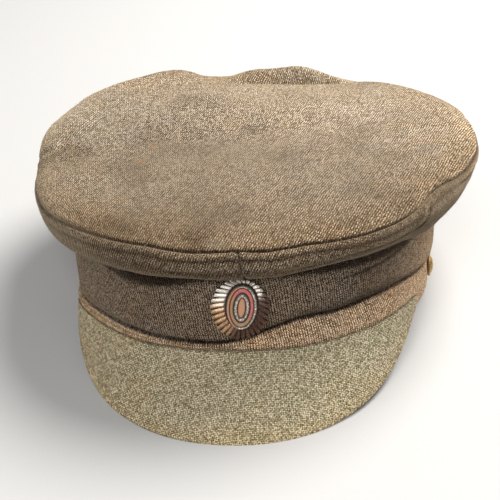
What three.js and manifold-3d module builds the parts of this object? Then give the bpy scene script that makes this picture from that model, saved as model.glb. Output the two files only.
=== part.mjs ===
// A soldier's peaked field cap of wool cloth: a soft, overhanging crown, a wool band, a cloth-covered peak,
// an oval rayed cockade and two brass side buttons. Millimetres, +Z up, front towards -Y, resting on Z = 0.
import * as THREE from "three";
import Module from "manifold-3d";

const wasm = await Module();
wasm.setup();

// Driving sizes. The cap is drawn level, with the lower edge of its band at height 0, and then leans back.
const bandHalfWidth = 97.4;
const bandHalfLength = 91;
const sideDroop = 5.4; // the lower edge of the band hangs this much lower at the sides than in front
const crownHalfWidth = 116.3;
const crownHalfLength = 112.6;
const crownSetBack = 11.4; // the centre of the crown lies behind the centre of the band
const crownMiddleHeight = 60;
const crownDome = 7;
const crownEdgeRoll = 4; // how far the top cloth turns down to its seam
const peakLength = 44.4;
const peakSlope = 52; // degrees below the plane of the band's lower edge
const peakSpread = 0.14;
const peakLeanLeft = 0.05;
const peakEnds = { left: -75, right: 65 }; // azimuths
const peakTongue = 7; // the sewn edge of the peak, up inside the band
const crownWall = 2;
const bandWall = 2.2;
const peakWall = 3;
const tongueWall = 1.2;
const gap = 0.3; // between touching pieces
const leanBack = 9.8; // degrees: the cap rests on the rear of its band and on the tip of its peak
const settled = 0.8; // the cloth that the cap's weight flattens on the floor
const columns = 64; // around the head

// Azimuth 0 is the front and azimuths grow towards +X. Each table has a row for a place around the cap.
// The seam between the top and the sides of the crown: added radius, and height.
const crownSeam = [
  { at: -180, out: 8, height: 74.5 },
  { at: -150, out: 10, height: 79.5 },
  { at: -120, out: 9, height: 76 },
  { at: -90, out: 0, height: 64 },
  { at: -60, out: -0.5, height: 57 },
  { at: -30, out: 0, height: 54.5 },
  { at: 0, out: 0, height: 53.6 },
  { at: 30, out: 0, height: 55.5 },
  { at: 60, out: 1, height: 62 },
  { at: 90, out: 4, height: 71 },
  { at: 120, out: 8, height: 75 },
  { at: 150, out: 9, height: 74 },
];

const foldFade = 5; // how quickly the fold flattens out above its crease

const bandTop = [
  { at: -180, height: 46 },
  { at: -90, height: 45 },
  { at: -45, height: 44 },
  { at: 0, height: 43.5 },
  { at: 30, height: 44.5 },
  { at: 60, height: 48 },
  { at: 90, height: 50 },
  { at: 135, height: 47 },
];

// The sides bulge out below the seam, then roll over the band: reach and drop of each bulge.
const sideRoll = [
  { at: -180, bulge: 5, bulgeDrop: 14, roll: 12, rollDrop: 4 },
  { at: -135, bulge: 5, bulgeDrop: 14, roll: 14, rollDrop: 6 },
  { at: -90, bulge: 4, bulgeDrop: 11, roll: 14, rollDrop: 5 },
  { at: -40, bulge: 4, bulgeDrop: 10, roll: 13, rollDrop: 5 },
  { at: 0, bulge: 4, bulgeDrop: 9.5, roll: 12, rollDrop: 5 },
  { at: 40, bulge: 3, bulgeDrop: 8, roll: 9, rollDrop: 3 },
  { at: 90, bulge: 3, bulgeDrop: 12, roll: 8, rollDrop: 1 },
  { at: 135, bulge: 4, bulgeDrop: 14, roll: 12, rollDrop: 4 },
];

// A pressed fold runs round the band: its height, its depth, and how far the strip below it stands out.
const bandFold = [
  { at: -180, height: 3, depth: 0, lip: 0 },
  { at: -110, height: 3, depth: 0.3, lip: 0.5 },
  { at: -60, height: 4, depth: 1.2, lip: 1 },
  { at: 0, height: 4, depth: 1.5, lip: 1 },
  { at: 20, height: 7, depth: 2.6, lip: 1 },
  { at: 40, height: 12, depth: 4.2, lip: 1 },
  { at: 60, height: 16, depth: 4.6, lip: -1 },
  { at: 80, height: 17.5, depth: 4.4, lip: -3 },
  { at: 100, height: 14, depth: 2.5, lip: -2.4 },
  { at: 125, height: 8, depth: 0.6, lip: -0.6 },
  { at: 150, height: 3, depth: 0, lip: 0 },
];

// Soft swells and hollows of the crown's top, as bells: centre, reach along X and Y, and lift.
const topSwells = [
  { x: 24, y: 102, reachX: 34, reachY: 12, lift: -10 },
  { x: 22, y: 128, reachX: 26, reachY: 14, lift: 9 },
  { x: 0, y: 60, reachX: 90, reachY: 40, lift: 8 },
];

const topRings = [0.3, 0.55, 0.75, 0.88, 0.95, 0.985, 1];
const sideSteps = [0, 0.12, 0.26, 0.42, 0.58, 0.74, 0.88, 1];
const aboveFold = [0, 0.3, 0.55, 0.75, 0.88, 0.96, 1];
const belowFold = [0.3, 0.65, 1];

const cockade = {
  width: 26.2,
  height: 31.4,
  turn: 7, // degrees, its top towards +X
  centreHeight: 22,
  rays: 32,
  plate: 0.9,
  rayLift: 0.9,
  notch: 0.72, // the groove between two rays is this much shorter than a ray
  bossWidth: 16.8,
  bossHeight: 22.6,
};

const prong = { width: 3, thick: 1.2, bar: 15, barThick: 0.8 };
const button = { radius: 6.1, shank: 1.4, foot: 2.8 };
const buttonPlaces = {
  side_button_right: { azimuth: 90, height: 6.4 },
  side_button_left: { azimuth: -98, height: 10 },
};

const crownWool = { color: 0x7a6a50, roughness: 0.95, metalness: 0 };
const bandWool = { color: 0x50443a, roughness: 0.95, metalness: 0 };
const peakWool = { color: 0x6f6b4d, roughness: 0.93, metalness: 0 };
const agedBrass = { color: 0x8c6a3c, roughness: 0.45, metalness: 0.9 };
const rayMetal = { color: 0x9a8674, roughness: 0.4, metalness: 0.9 };
const enamel = { color: 0xa5604a, roughness: 0.4, metalness: 0.3 };

const { degToRad: radians, radToDeg: degrees, euclideanModulo, lerp, smoothstep } = THREE.MathUtils;
const up = new THREE.Vector3(0, 0, 1);

// The turn that leans the level cap back on the rear of its band.
const lean = new THREE.Matrix4()
  .makeTranslation(0, bandHalfLength, -settled)
  .multiply(new THREE.Matrix4().makeRotationX(-radians(leanBack)))
  .multiply(new THREE.Matrix4().makeTranslation(0, -bandHalfLength, 0));

// Cloth leans back with the cap and lies flat where it meets the floor.
function settle(point) {
  const placed = point.clone().applyMatrix4(lean);
  placed.z = Math.max(placed.z, 0);
  return placed;
}

function outward(azimuth) {
  return new THREE.Vector3(Math.sin(azimuth), -Math.cos(azimuth), 0);
}

function ellipseRadius(azimuth, halfWidth, halfLength) {
  return 1 / Math.hypot(Math.sin(azimuth) / halfWidth, Math.cos(azimuth) / halfLength);
}

// A column of a table at any azimuth, smooth and closed all the way round.
function around(table, column, azimuth) {
  const turned = euclideanModulo(degrees(azimuth) + 180, 360) - 180;
  const count = table.length;
  const row = (i) => {
    const lap = Math.floor(i / count);
    const { at, [column]: value } = table[i - lap * count];
    return { at: at + 360 * lap, value };
  };
  let i = count - 1;
  while (table[i].at > turned) i -= 1;
  const [before, from, to, after] = [row(i - 1), row(i), row(i + 1), row(i + 2)];
  const span = to.at - from.at;
  const leave = ((to.value - before.value) / (to.at - before.at)) * span;
  const arrive = ((after.value - from.value) / (after.at - from.at)) * span;
  const s = (turned - from.at) / span;
  return (
    from.value * (2 * s ** 3 - 3 * s ** 2 + 1) +
    leave * (s ** 3 - 2 * s ** 2 + s) +
    to.value * (3 * s ** 2 - 2 * s ** 3) +
    arrive * (s ** 3 - s ** 2)
  );
}

// The top of the crown: share 0 is its middle and share 1 its seam.
function topPoint(azimuth, share) {
  const oval = ellipseRadius(azimuth, crownHalfWidth, crownHalfLength);
  const radius = oval + around(crownSeam, "out", azimuth);
  const point = outward(azimuth).multiplyScalar(radius * share);
  point.y += crownSetBack;
  const held = 1 - smoothstep(share, 0.9, 1);
  const swell = topSwells.reduce((sum, bell) => {
    const x = (point.x - bell.x) / bell.reachX;
    const y = (point.y - bell.y) / bell.reachY;
    return sum + bell.lift * Math.exp(-x * x - y * y);
  }, 0);
  point.z =
    around(crownSeam, "height", azimuth) * share ** 2 +
    (crownMiddleHeight + crownDome) * (1 - share ** 2) +
    swell * held +
    crownEdgeRoll * (1 - smoothstep(share, 0.86, 1) ** 2);
  return point;
}

function bandRim(azimuth) {
  const point = outward(azimuth).multiplyScalar(ellipseRadius(azimuth, bandHalfWidth, bandHalfLength));
  point.z = around(bandTop, "height", azimuth) + lowerEdge(azimuth);
  return point;
}

// The sides of the crown, as the points of one profile from the seam down to the top of the band.
function sideProfile(azimuth) {
  const out = outward(azimuth);
  const roll = (column) => around(sideRoll, column, azimuth);
  const rim = bandRim(azimuth);
  const tuck = rim.clone().addScaledVector(out, gap).addScaledVector(up, -0.6);
  const seam = topPoint(azimuth, 1);
  const curve = new THREE.CubicBezierCurve3(
    seam,
    seam.clone().addScaledVector(out, roll("bulge")).addScaledVector(up, -roll("bulgeDrop")),
    tuck.clone().addScaledVector(out, roll("roll")).addScaledVector(up, -roll("rollDrop")),
    tuck,
  );
  const corner = rim.clone().addScaledVector(out, gap).addScaledVector(up, gap);
  const end = rim.clone().addScaledVector(out, gap - bandWall).addScaledVector(up, gap);
  return [...sideSteps.map((t) => curve.getPoint(t)), corner, end];
}

// The outside of the band at one azimuth, from its top to its lower edge, with the fold pressed in.
function bandProfile(azimuth) {
  const out = outward(azimuth);
  const rim = bandRim(azimuth);
  const tall = around(bandTop, "height", azimuth);
  const fold = (column) => around(bandFold, column, azimuth);
  const heights = [
    ...aboveFold.map((share) => lerp(tall, fold("height"), share)),
    ...belowFold.map((share) => fold("height") * (1 - share)),
  ];
  return heights.map((height) => {
    const above = height - fold("height");
    const below = Math.max(-above / fold("height"), 0);
    const shift =
      above >= 0
        ? -fold("depth") * Math.exp(-above / foldFade)
        : (fold("depth") + fold("lip")) * Math.min(below / 0.55, 1) ** 0.7 - fold("depth");
    return rim.clone().addScaledVector(out, shift).addScaledVector(up, height - tall);
  });
}

// Where a profile that runs downwards passes a height.
function atHeight(profile, height) {
  const found = profile.findIndex((point) => point.z <= height);
  const j = found < 1 ? profile.length - 1 : found;
  const [above, below] = [profile[j - 1], profile[j]];
  return above.clone().lerp(below, (above.z - height) / (above.z - below.z));
}

function lowerEdge(azimuth) {
  return -sideDroop * Math.sin(azimuth) ** 2;
}

// The normal of the outer side of a profile between two of its points, in the plane of its azimuth.
function profileNormal(from, to, out) {
  const step = to.clone().sub(from);
  return out.clone().multiplyScalar(-step.z).addScaledVector(up, step.dot(out)).normalize();
}

// The inner side of a wall: each point moves in square to the profile, mitred where the profile bends.
function innerProfile(points, out, wall, before, after) {
  const last = points.length - 1;
  return points.map((point, j) => {
    const previous = j ? points[j - 1] : before;
    const next = j < last ? points[j + 1] : after;
    const a = profileNormal(previous ?? point, previous ? point : next, out);
    const b = profileNormal(next ? point : previous, next ?? point, out);
    const mitre = a.clone().add(b).normalize();
    const reach = Math.min(wall / mitre.dot(a), wall * 1.5);
    return point.clone().addScaledVector(mitre, -reach);
  });
}

// A closed body between two grids of points, grid[column][row]. A ring closes on itself, and a cap
// gathers the first row of each grid in one point.
function wallGeometry(outer, inner, { ring, cap = null }) {
  const wide = outer.length;
  const deep = outer[0].length;
  const points = [...outer.flat(), ...inner.flat()];
  const at = (side, i, j) => side * wide * deep + (i % wide) * deep + j;
  const faces = [];
  const quad = (a, b, c, d) => faces.push(a, b, c, a, c, d);
  const spans = ring ? wide : wide - 1;
  for (let i = 0; i < spans; i += 1) {
    for (let j = 0; j < deep - 1; j += 1) {
      quad(at(0, i, j), at(0, i, j + 1), at(0, i + 1, j + 1), at(0, i + 1, j));
      quad(at(1, i, j), at(1, i + 1, j), at(1, i + 1, j + 1), at(1, i, j + 1));
    }
    quad(at(0, i, deep - 1), at(1, i, deep - 1), at(1, i + 1, deep - 1), at(0, i + 1, deep - 1));
    if (cap) {
      faces.push(points.length, at(0, i, 0), at(0, i + 1, 0));
      faces.push(points.length + 1, at(1, i + 1, 0), at(1, i, 0));
    } else {
      quad(at(0, i, 0), at(0, i + 1, 0), at(1, i + 1, 0), at(1, i, 0));
    }
  }
  if (!ring) {
    for (let j = 0; j < deep - 1; j += 1) {
      quad(at(0, 0, j), at(1, 0, j), at(1, 0, j + 1), at(0, 0, j + 1));
      quad(at(0, wide - 1, j), at(0, wide - 1, j + 1), at(1, wide - 1, j + 1), at(1, wide - 1, j));
    }
  }
  if (cap) points.push(cap.outer, cap.inner);
  return new THREE.BufferGeometry()
    .setAttribute("position", new THREE.Float32BufferAttribute(points.flatMap((p) => p.toArray()), 3))
    .setIndex(faces);
}

// Joins and cuts between closed geometries.
function solidOf(geometry) {
  return new wasm.Manifold(
    new wasm.Mesh({
      numProp: 3,
      vertProperties: new Float32Array(geometry.attributes.position.array),
      triVerts: new Uint32Array(geometry.index.array),
    }),
  );
}

function geometryOf(solid) {
  const mesh = solid.getMesh();
  return new THREE.BufferGeometry()
    .setAttribute("position", new THREE.BufferAttribute(new Float32Array(mesh.vertProperties), 3))
    .setIndex(new THREE.BufferAttribute(new Uint32Array(mesh.triVerts), 1));
}

function named(name, geometry, finish) {
  geometry.computeVertexNormals();
  const mesh = new THREE.Mesh(geometry, new THREE.MeshStandardMaterial(finish));
  mesh.name = name;
  return mesh;
}

function azimuthRing() {
  return Array.from({ length: columns }, (_, i) => radians(-180 + (360 * i) / columns));
}

function crownTop() {
  const grids = azimuthRing().map((azimuth) => {
    const out = outward(azimuth);
    const outer = topRings.map((share) => topPoint(azimuth, share));
    const below = sideProfile(azimuth)[1];
    const inner = innerProfile(outer, out, crownWall, topPoint(azimuth, 0), below);
    for (const side of [outer, inner]) side[side.length - 1].addScaledVector(out, -gap / 2);
    return { outer, inner };
  });
  const middle = topPoint(0, 0);
  const cap = { outer: settle(middle), inner: settle(middle.clone().addScaledVector(up, -crownWall)) };
  return wallGeometry(
    grids.map(({ outer }) => outer.map(settle)),
    grids.map(({ inner }) => inner.map(settle)),
    { ring: true, cap },
  );
}

// Half of the crown's side, from the seam in front to the seam behind. The front seam slants a little.
function crownSide(side) {
  const frontSeam = { top: 1.5, bottom: 3.5 };
  const seamGap = 0.09; // degrees, half the gap between the halves
  const half = columns / 2;
  const places = Array.from({ length: half + 1 }, (_, i) => i / half);
  const grids = places.map((share) => {
    const column = (slant) => {
      const front = lerp(frontSeam.top, frontSeam.bottom, slant) + side * seamGap;
      return radians(lerp(front, side * (180 - seamGap), share));
    };
    const rows = sideSteps.length + 2;
    const outer = [];
    const inner = [];
    for (let j = 0; j < rows; j += 1) {
      const azimuth = column(j / (rows - 1));
      const out = outward(azimuth);
      const profile = sideProfile(azimuth);
      const above = topPoint(azimuth, topRings.at(-2));
      const wall = innerProfile(profile, out, crownWall, above, null);
      const drop = j ? 0 : -gap / 2;
      outer.push(profile[j].addScaledVector(up, drop));
      inner.push(wall[j].addScaledVector(up, drop));
    }
    return { outer, inner };
  });
  if (side < 0) grids.reverse();
  return wallGeometry(
    grids.map(({ outer }) => outer.map(settle)),
    grids.map(({ inner }) => inner.map(settle)),
    { ring: false },
  );
}

function bandInside(azimuth) {
  const outer = bandProfile(azimuth);
  const inner = innerProfile(outer, outward(azimuth), bandWall);
  inner[0].z = outer[0].z;
  inner.at(-1).z = outer.at(-1).z;
  return inner;
}

// The band, with a slot for the cockade's prong and a hole for each button's shank.
function band() {
  const grids = azimuthRing().map((azimuth) => {
    return { outer: bandProfile(azimuth), inner: bandInside(azimuth) };
  });
  const geometry = wallGeometry(
    grids.map(({ outer }) => outer.map(settle)),
    grids.map(({ inner }) => inner.map(settle)),
    { ring: true },
  );
  const cut = (solid, cutter) => solid.subtract(solidOf(cutter));
  const holes = [prongSlot(), ...Object.values(buttonPlaces).map(shankHole)];
  return geometryOf(holes.reduce(cut, solidOf(geometry)));
}

// The peak: a sewn tongue inside the band, then a straight-ruled blade with a rounded rim.
function peak() {
  const half = (peakEnds.right - peakEnds.left) / 2;
  const middle = (peakEnds.right + peakEnds.left) / 2;
  const spans = 30;
  const slope = radians(peakSlope);
  const bladeShares = [0.08, 0.3, 0.55, 0.8, 0.97];
  const places = Array.from({ length: spans + 1 }, (_, i) => (2 * i) / spans - 1);
  const rootAt = (azimuth) => {
    const edge = bandProfile(azimuth).at(-1);
    return edge.addScaledVector(outward(azimuth), gap).addScaledVector(up, -1.5 * gap);
  };
  const grids = places.map((place) => {
    const azimuth = radians(middle + half * place);
    const out = outward(azimuth);
    const root = rootAt(azimuth);
    const along = rootAt(azimuth + 0.01).sub(rootAt(azimuth - 0.01)).normalize();
    const ahead = new THREE.Vector3(
      peakSpread * Math.sin(azimuth) - peakLeanLeft,
      -Math.cos(slope),
      -Math.sin(slope),
    ).normalize();
    const square = ahead.clone().cross(along).normalize();
    const reach = Math.max(peakLength * (1 - Math.abs(place) ** 2.4), 1.6);
    const low = lowerEdge(azimuth);
    const hollow = bandInside(azimuth).filter((point) => point.z < low + peakTongue + 2 * bandWall);
    const innermost = Math.min(...hollow.map((point) => point.dot(out))) - 2 * gap;
    const tongue = [low + peakTongue, low - 2 * gap].map((height) =>
      out.clone().multiplyScalar(innermost).setZ(height),
    );
    const outer = [...tongue, root];
    const inner = tongue.map((point) => point.clone().addScaledVector(out, -tongueWall));
    inner[1].addScaledVector(up, -0.8 * peakWall);
    inner.push(root.clone().addScaledVector(square, -peakWall));
    for (const share of bladeShares) {
      const point = root.clone().addScaledVector(ahead, reach * share);
      outer.push(point);
      inner.push(point.clone().addScaledVector(square, -peakWall));
    }
    const rim = root.clone().addScaledVector(ahead, reach);
    outer.push(rim.clone().addScaledVector(square, -0.3 * peakWall));
    inner.push(rim.clone().addScaledVector(square, -0.7 * peakWall));
    return { outer, inner };
  });
  return wallGeometry(
    grids.map(({ outer }) => outer.map(settle)),
    grids.map(({ inner }) => inner.map(settle)),
    { ring: false },
  );
}

// A closed plate in relief: rings of points from the middle to the rim, and a flat back.
function reliefPlate(steps, rings, middleLift, pointAt) {
  const points = [];
  const faces = [];
  const deep = rings.length;
  for (let i = 0; i < steps; i += 1) {
    const angle = (2 * Math.PI * i) / steps;
    points.push(...rings.map((ring) => pointAt(i, angle, ring)));
  }
  const at = (i, j) => (i % steps) * deep + j;
  const middle = points.length;
  points.push(new THREE.Vector3(0, 0, middleLift), new THREE.Vector3());
  for (let i = 0; i < steps; i += 1) {
    faces.push(middle, at(i, 0), at(i + 1, 0));
    faces.push(middle + 1, at(i + 1, deep - 1), at(i, deep - 1));
    for (let j = 0; j < deep - 1; j += 1) {
      faces.push(at(i, j), at(i, j + 1), at(i + 1, j + 1));
      faces.push(at(i, j), at(i + 1, j + 1), at(i + 1, j));
    }
  }
  return new THREE.BufferGeometry()
    .setAttribute("position", new THREE.Float32BufferAttribute(points.flatMap((p) => p.toArray()), 3))
    .setIndex(faces);
}

function ovalPoint(angle, width, height, lift) {
  return new THREE.Vector3((width / 2) * Math.cos(angle), (height / 2) * Math.sin(angle), lift);
}

function boxAt(width, height, depth, z) {
  const box = new THREE.BoxGeometry(width, height, depth).translate(0, 0, z);
  return welded(box);
}

// A geometry whose corners are shared between faces.
function welded(geometry) {
  const position = geometry.attributes.position;
  const index = geometry.index ? [...geometry.index.array] : [...Array(position.count).keys()];
  const seen = new Map();
  const points = [];
  const shared = Array.from({ length: position.count }, (_, i) => {
    const corner = new THREE.Vector3().fromBufferAttribute(position, i);
    const key = corner.toArray().map((value) => Math.round(value * 1e4)).join();
    if (!seen.has(key)) {
      seen.set(key, points.length / 3);
      points.push(...corner.toArray());
    }
    return seen.get(key);
  });
  const faces = [];
  for (let i = 0; i < index.length; i += 3) {
    const [a, b, c] = [shared[index[i]], shared[index[i + 1]], shared[index[i + 2]]];
    if (a !== b && b !== c && a !== c) faces.push(a, b, c);
  }
  return new THREE.BufferGeometry()
    .setAttribute("position", new THREE.Float32BufferAttribute(points, 3))
    .setIndex(faces);
}

// The rayed plate, facing +Z, with the prong that goes through the band and lies bent behind it.
function cockadeRays() {
  const { width, height, bossWidth, bossHeight, rayLift } = cockade;
  const rings = [
    { reach: 0, rise: 0, thick: cockade.plate },
    { reach: 0.12, rise: rayLift, thick: cockade.plate },
    { reach: 0.8, rise: rayLift, thick: cockade.plate },
    { reach: 1, rise: 0.3 * rayLift, thick: 0.8 * cockade.plate },
    { reach: 1, rise: 0, thick: 0 },
  ];
  const pointAt = (i, angle, { reach, rise, thick }) => {
    const groove = i % 2 === 1;
    const share = groove ? reach * cockade.notch : reach;
    const lift = groove ? 0.8 * thick : thick + rise;
    const from = ovalPoint(angle, bossWidth + 1, bossHeight + 1, lift);
    return from.lerp(ovalPoint(angle, width, height, lift), share);
  };
  const plate = reliefPlate(2 * cockade.rays, rings, cockade.plate, pointAt);
  const { width: wide, thick, bar, barThick } = prong;
  const behind = -(gap + bandWall + 2 * gap + barThick);
  const post = boxAt(wide, thick, 0.2 - behind, (0.2 + behind) / 2);
  const bent = boxAt(wide, bar, barThick, behind + barThick / 2);
  return geometryOf(solidOf(plate).add(solidOf(post)).add(solidOf(bent)));
}

// The oval boss: a domed middle inside two raised rings.
function cockadeBoss() {
  const rings = [
    { share: 0.16, lift: 2.35 },
    { share: 0.28, lift: 1.95 },
    { share: 0.33, lift: 1.35 },
    { share: 0.42, lift: 2.15 },
    { share: 0.5, lift: 1.35 },
    { share: 0.6, lift: 1.55 },
    { share: 0.78, lift: 1.25 },
    { share: 0.86, lift: 1.75 },
    { share: 0.95, lift: 1.05 },
    { share: 1, lift: 0 },
  ];
  const { bossWidth, bossHeight } = cockade;
  const pointAt = (i, angle, { share, lift }) => {
    return ovalPoint(angle, bossWidth * share, bossHeight * share, lift);
  };
  return reliefPlate(40, rings, 2.45, pointAt);
}

// A domed button with a raised rim, its shank through the band and a flat foot inside.
function sideButton() {
  const { radius, shank, foot } = button;
  const behind = -(gap + bandWall + 2 * gap);
  const profile = [
    [0, behind - 0.8],
    [foot, behind - 0.8],
    [foot, behind],
    [shank, behind],
    [shank, 0],
    [radius * 0.85, 0],
    [radius, 0.5],
    [radius, 1.1],
    [radius * 0.9, 1.5],
    [radius * 0.82, 1.2],
    [radius * 0.6, 2.5],
    [radius * 0.32, 3.2],
    [0, 3.4],
  ].map(([x, y]) => new THREE.Vector2(x, y));
  const turned = new THREE.LatheGeometry(profile, 20).rotateX(Math.PI / 2);
  return welded(turned);
}

// Where trim sits on the band: its +Z points straight out of the cloth, and its +Y points up.
function bandSeat(azimuth, height) {
  const out = outward(azimuth);
  const place = atHeight(bandProfile(azimuth), lowerEdge(azimuth) + height);
  const side = up.clone().cross(out);
  return new THREE.Matrix4().makeBasis(side, up, out).setPosition(place);
}

function cockadeSeat() {
  const turn = new THREE.Matrix4().makeRotationZ(-radians(cockade.turn));
  return bandSeat(0, cockade.centreHeight).multiply(turn);
}

function buttonSeat({ azimuth, height }) {
  return bandSeat(radians(azimuth), height);
}

function prongSlot() {
  const slot = boxAt(prong.width + 2 * gap, prong.thick + 2 * gap, 3 * bandWall, -bandWall / 2);
  return slot.applyMatrix4(cockadeSeat()).applyMatrix4(lean);
}

function shankHole(place) {
  const hole = new THREE.CylinderGeometry(button.shank + gap, button.shank + gap, 3 * bandWall, 20);
  hole.rotateX(Math.PI / 2).translate(0, 0, -bandWall / 2);
  return welded(hole).applyMatrix4(buttonSeat(place)).applyMatrix4(lean);
}

// Hard trim keeps its shape: it is placed on the level cap, in a group that leans back with it.
function trim(name, geometry, finish, seat, lift) {
  const mesh = named(name, geometry, finish);
  mesh.applyMatrix4(seat.clone().multiply(new THREE.Matrix4().makeTranslation(0, 0, lift)));
  return mesh;
}

function fieldCap() {
  const cloth = new THREE.Group();
  cloth.add(named("crown_top", crownTop(), crownWool));
  cloth.add(named("crown_side_left", crownSide(-1), crownWool));
  cloth.add(named("crown_side_right", crownSide(1), crownWool));
  cloth.add(named("band", band(), bandWool));
  cloth.add(named("peak", peak(), peakWool));

  const trims = new THREE.Group();
  const rays = trim("cockade_rays", cockadeRays(), rayMetal, cockadeSeat(), gap);
  const boss = trim("cockade_boss", cockadeBoss(), enamel, cockadeSeat(), 2 * gap + cockade.plate);
  trims.add(rays, boss);
  for (const [name, place] of Object.entries(buttonPlaces)) {
    trims.add(trim(name, sideButton(), agedBrass, buttonSeat(place), gap));
  }
  trims.applyMatrix4(lean);

  const whole = new THREE.Group().add(cloth, trims);
  const middle = new THREE.Box3().setFromObject(whole, true).getCenter(new THREE.Vector3());
  whole.position.set(-middle.x, -middle.y, 0);
  return new THREE.Group().add(whole);
}

const group = fieldCap();

export default group;
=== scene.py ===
import math

import bpy
import numpy as np
from mathutils import Matrix, Vector


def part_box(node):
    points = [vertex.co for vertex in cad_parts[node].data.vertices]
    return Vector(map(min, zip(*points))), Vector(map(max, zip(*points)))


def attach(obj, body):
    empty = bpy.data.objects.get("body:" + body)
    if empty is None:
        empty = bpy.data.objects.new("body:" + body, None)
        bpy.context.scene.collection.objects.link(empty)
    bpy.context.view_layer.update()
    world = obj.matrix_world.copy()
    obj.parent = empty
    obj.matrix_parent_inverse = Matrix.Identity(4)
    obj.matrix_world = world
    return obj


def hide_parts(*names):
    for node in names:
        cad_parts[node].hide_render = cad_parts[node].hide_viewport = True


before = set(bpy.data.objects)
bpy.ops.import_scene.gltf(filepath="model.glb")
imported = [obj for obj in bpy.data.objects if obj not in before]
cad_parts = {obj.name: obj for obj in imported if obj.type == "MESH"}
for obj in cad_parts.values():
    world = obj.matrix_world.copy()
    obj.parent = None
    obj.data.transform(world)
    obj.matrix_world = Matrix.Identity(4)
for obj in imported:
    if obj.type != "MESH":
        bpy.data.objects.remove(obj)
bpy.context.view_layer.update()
mm = 0.001
print("frame loaded")


def table(columns, *rows):
    return dict(zip(columns.split(), np.array(rows, float).T))


# The form of the cap in millimetres, drawn level, with the lower edge of its band at height 0.
# Azimuth 0 is the front, and azimuths grow towards +X.
cap = {
    "bandHalfWidth": 97.4,
    "bandHalfLength": 91,
    "bandWall": 2.2,
    "sideDroop": 5.4,
    "crownHalfWidth": 116.3,
    "crownHalfLength": 112.6,
    "crownSetBack": 11.4,
    "crownMiddle": 67,
    "crownEdgeRoll": 4,
    "crownWall": 2,
    "tuckDrop": 0.6,
    "gap": 0.3,
    "leanBack": 9.8,
    "settled": 0.8,
    "foldFade": 5,
    "foldShoulder": 0.55,
}
crownSeam = table(
    "at out height",
    (-180, 8, 74), (-165, 9, 75.5), (-150, 10, 80.5), (-120, 9, 76), (-90, 0, 64), (-60, -0.5, 57),
    (-30, 0, 54.5), (0, 0, 53.6), (30, 0, 55.5), (60, 1, 62), (90, 4, 71), (120, 8, 74.5), (150, 9, 72.5),
)
bandTop = table(
    "at height",
    (-180, 46), (-90, 45), (-45, 44), (0, 43.5), (30, 44.5), (60, 48), (90, 50), (135, 47),
)
sideRoll = table(
    "at bulge bulgeDrop roll rollDrop",
    (-180, 5, 14, 12, 4), (-135, 5, 14, 14, 6), (-90, 4, 11, 14, 5), (-40, 4, 10, 13, 5),
    (0, 4, 9.5, 12, 5), (40, 3, 8, 9, 3), (90, 3, 12, 8, 1), (135, 4, 14, 12, 4),
)
bandFold = table(
    "at height depth lip",
    (-180, 3, 0, 0), (-110, 3, 0.3, 0.5), (-75, 5, 0.8, 0.8), (-55, 6.2, 1.4, 1), (-43, 5, 1.4, 1),
    (-25, 3, 1.4, 1), (-6, 3.2, 1.6, 1), (3, 7, 2, 1), (12, 11.6, 2.6, 1), (19, 14.2, 3.2, 1),
    (29, 14.8, 3.8, 1), (40, 17.2, 4.2, 1), (56, 18.8, 4.6, -1), (72, 17.2, 4.6, -2.4),
    (90, 13.6, 3.4, -2.8), (110, 10, 1.6, -1.6), (130, 7, 0.6, -0.6), (150, 3, 0, 0),
)
# x, y, reach along x, reach along y and lift of each swell of the crown's top
topSwells = (
    (20, 108.5, 30, 6.5, -13), (28, 125, 23, 11, 9), (-4, 125, 13, 11, 3.5), (0, 60, 90, 40, 8),
    (-56, 106, 26, 16, 2.7), (-28, 116, 10, 12, -3),
)
# how far past the plain edge the seam lies, and how softly the cloth turns over there
seamLine = table(
    "at shift corner",
    (-180, 0.5, 3), (-140, 1.5, 3), (-110, 4, 4), (-88, 5.5, 5), (-70, 4.5, 4), (-58, 3, 3),
    (-50, 1, 2.2), (-43, -0.2, 2), (-30, -1.6, 2), (-22, -2.5, 2), (-14, -1.6, 2), (0, -3, 2),
    (8, -2.4, 2), (17, -3.6, 2), (29, -2.1, 2), (39, -1.6, 2), (46, -2.6, 2.2), (51, -4.6, 2.4),
    (56, -6.2, 2.6), (61, -5.6, 2.8), (67, -2.8, 3), (74, -0.3, 3.2), (88, 2.5, 3.5), (120, 2, 3),
    (150, 1, 3),
)
# how far the peak reaches up over the band, and how far the band's top is drawn in under the crown
frontEdges = table(
    "at peakRise tuck",
    (-180, 0, 1), (-75, 0.4, 1.2), (-62, 2.4, 1.4), (-52, 2.4, 2), (-42, 1, 2.8), (-30, 0, 3.2),
    (-18, 0.2, 3.2), (-6, 0.5, 2), (8, 0.6, 1.4), (15, 0.9, 1.4), (22, 1.8, 1.2), (30, 3, 1), (40, 4.5, 1),
    (50, 6.1, 1), (58, 7.2, 1), (66, 7.6, 1), (80, 6, 1), (100, 0, 1),
)


def smooth(value, low, high):
    s = np.clip((value - low) / (high - low), 0, 1)
    return s * s * (3 - 2 * s)


# 1 from b to c, easing to 0 at a and d
def within(value, a, b, c, d):
    return smooth(value, a, b) * (1 - smooth(value, c, d))


def bell(distance, width):
    return np.exp(-((distance / width) ** 2))


# soft bands along one measure, each by its place, reach and share
def bands(value, rows):
    return sum(share * bell(value - at, reach) for at, reach, share in rows)


# soft oval spots, each by its x, y, reach along x, reach along y and share
def spots(x, y, rows):
    return sum(share * bell(x - atX, wide) * bell(y - atY, deep) for atX, atY, wide, deep, share in rows)


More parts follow.
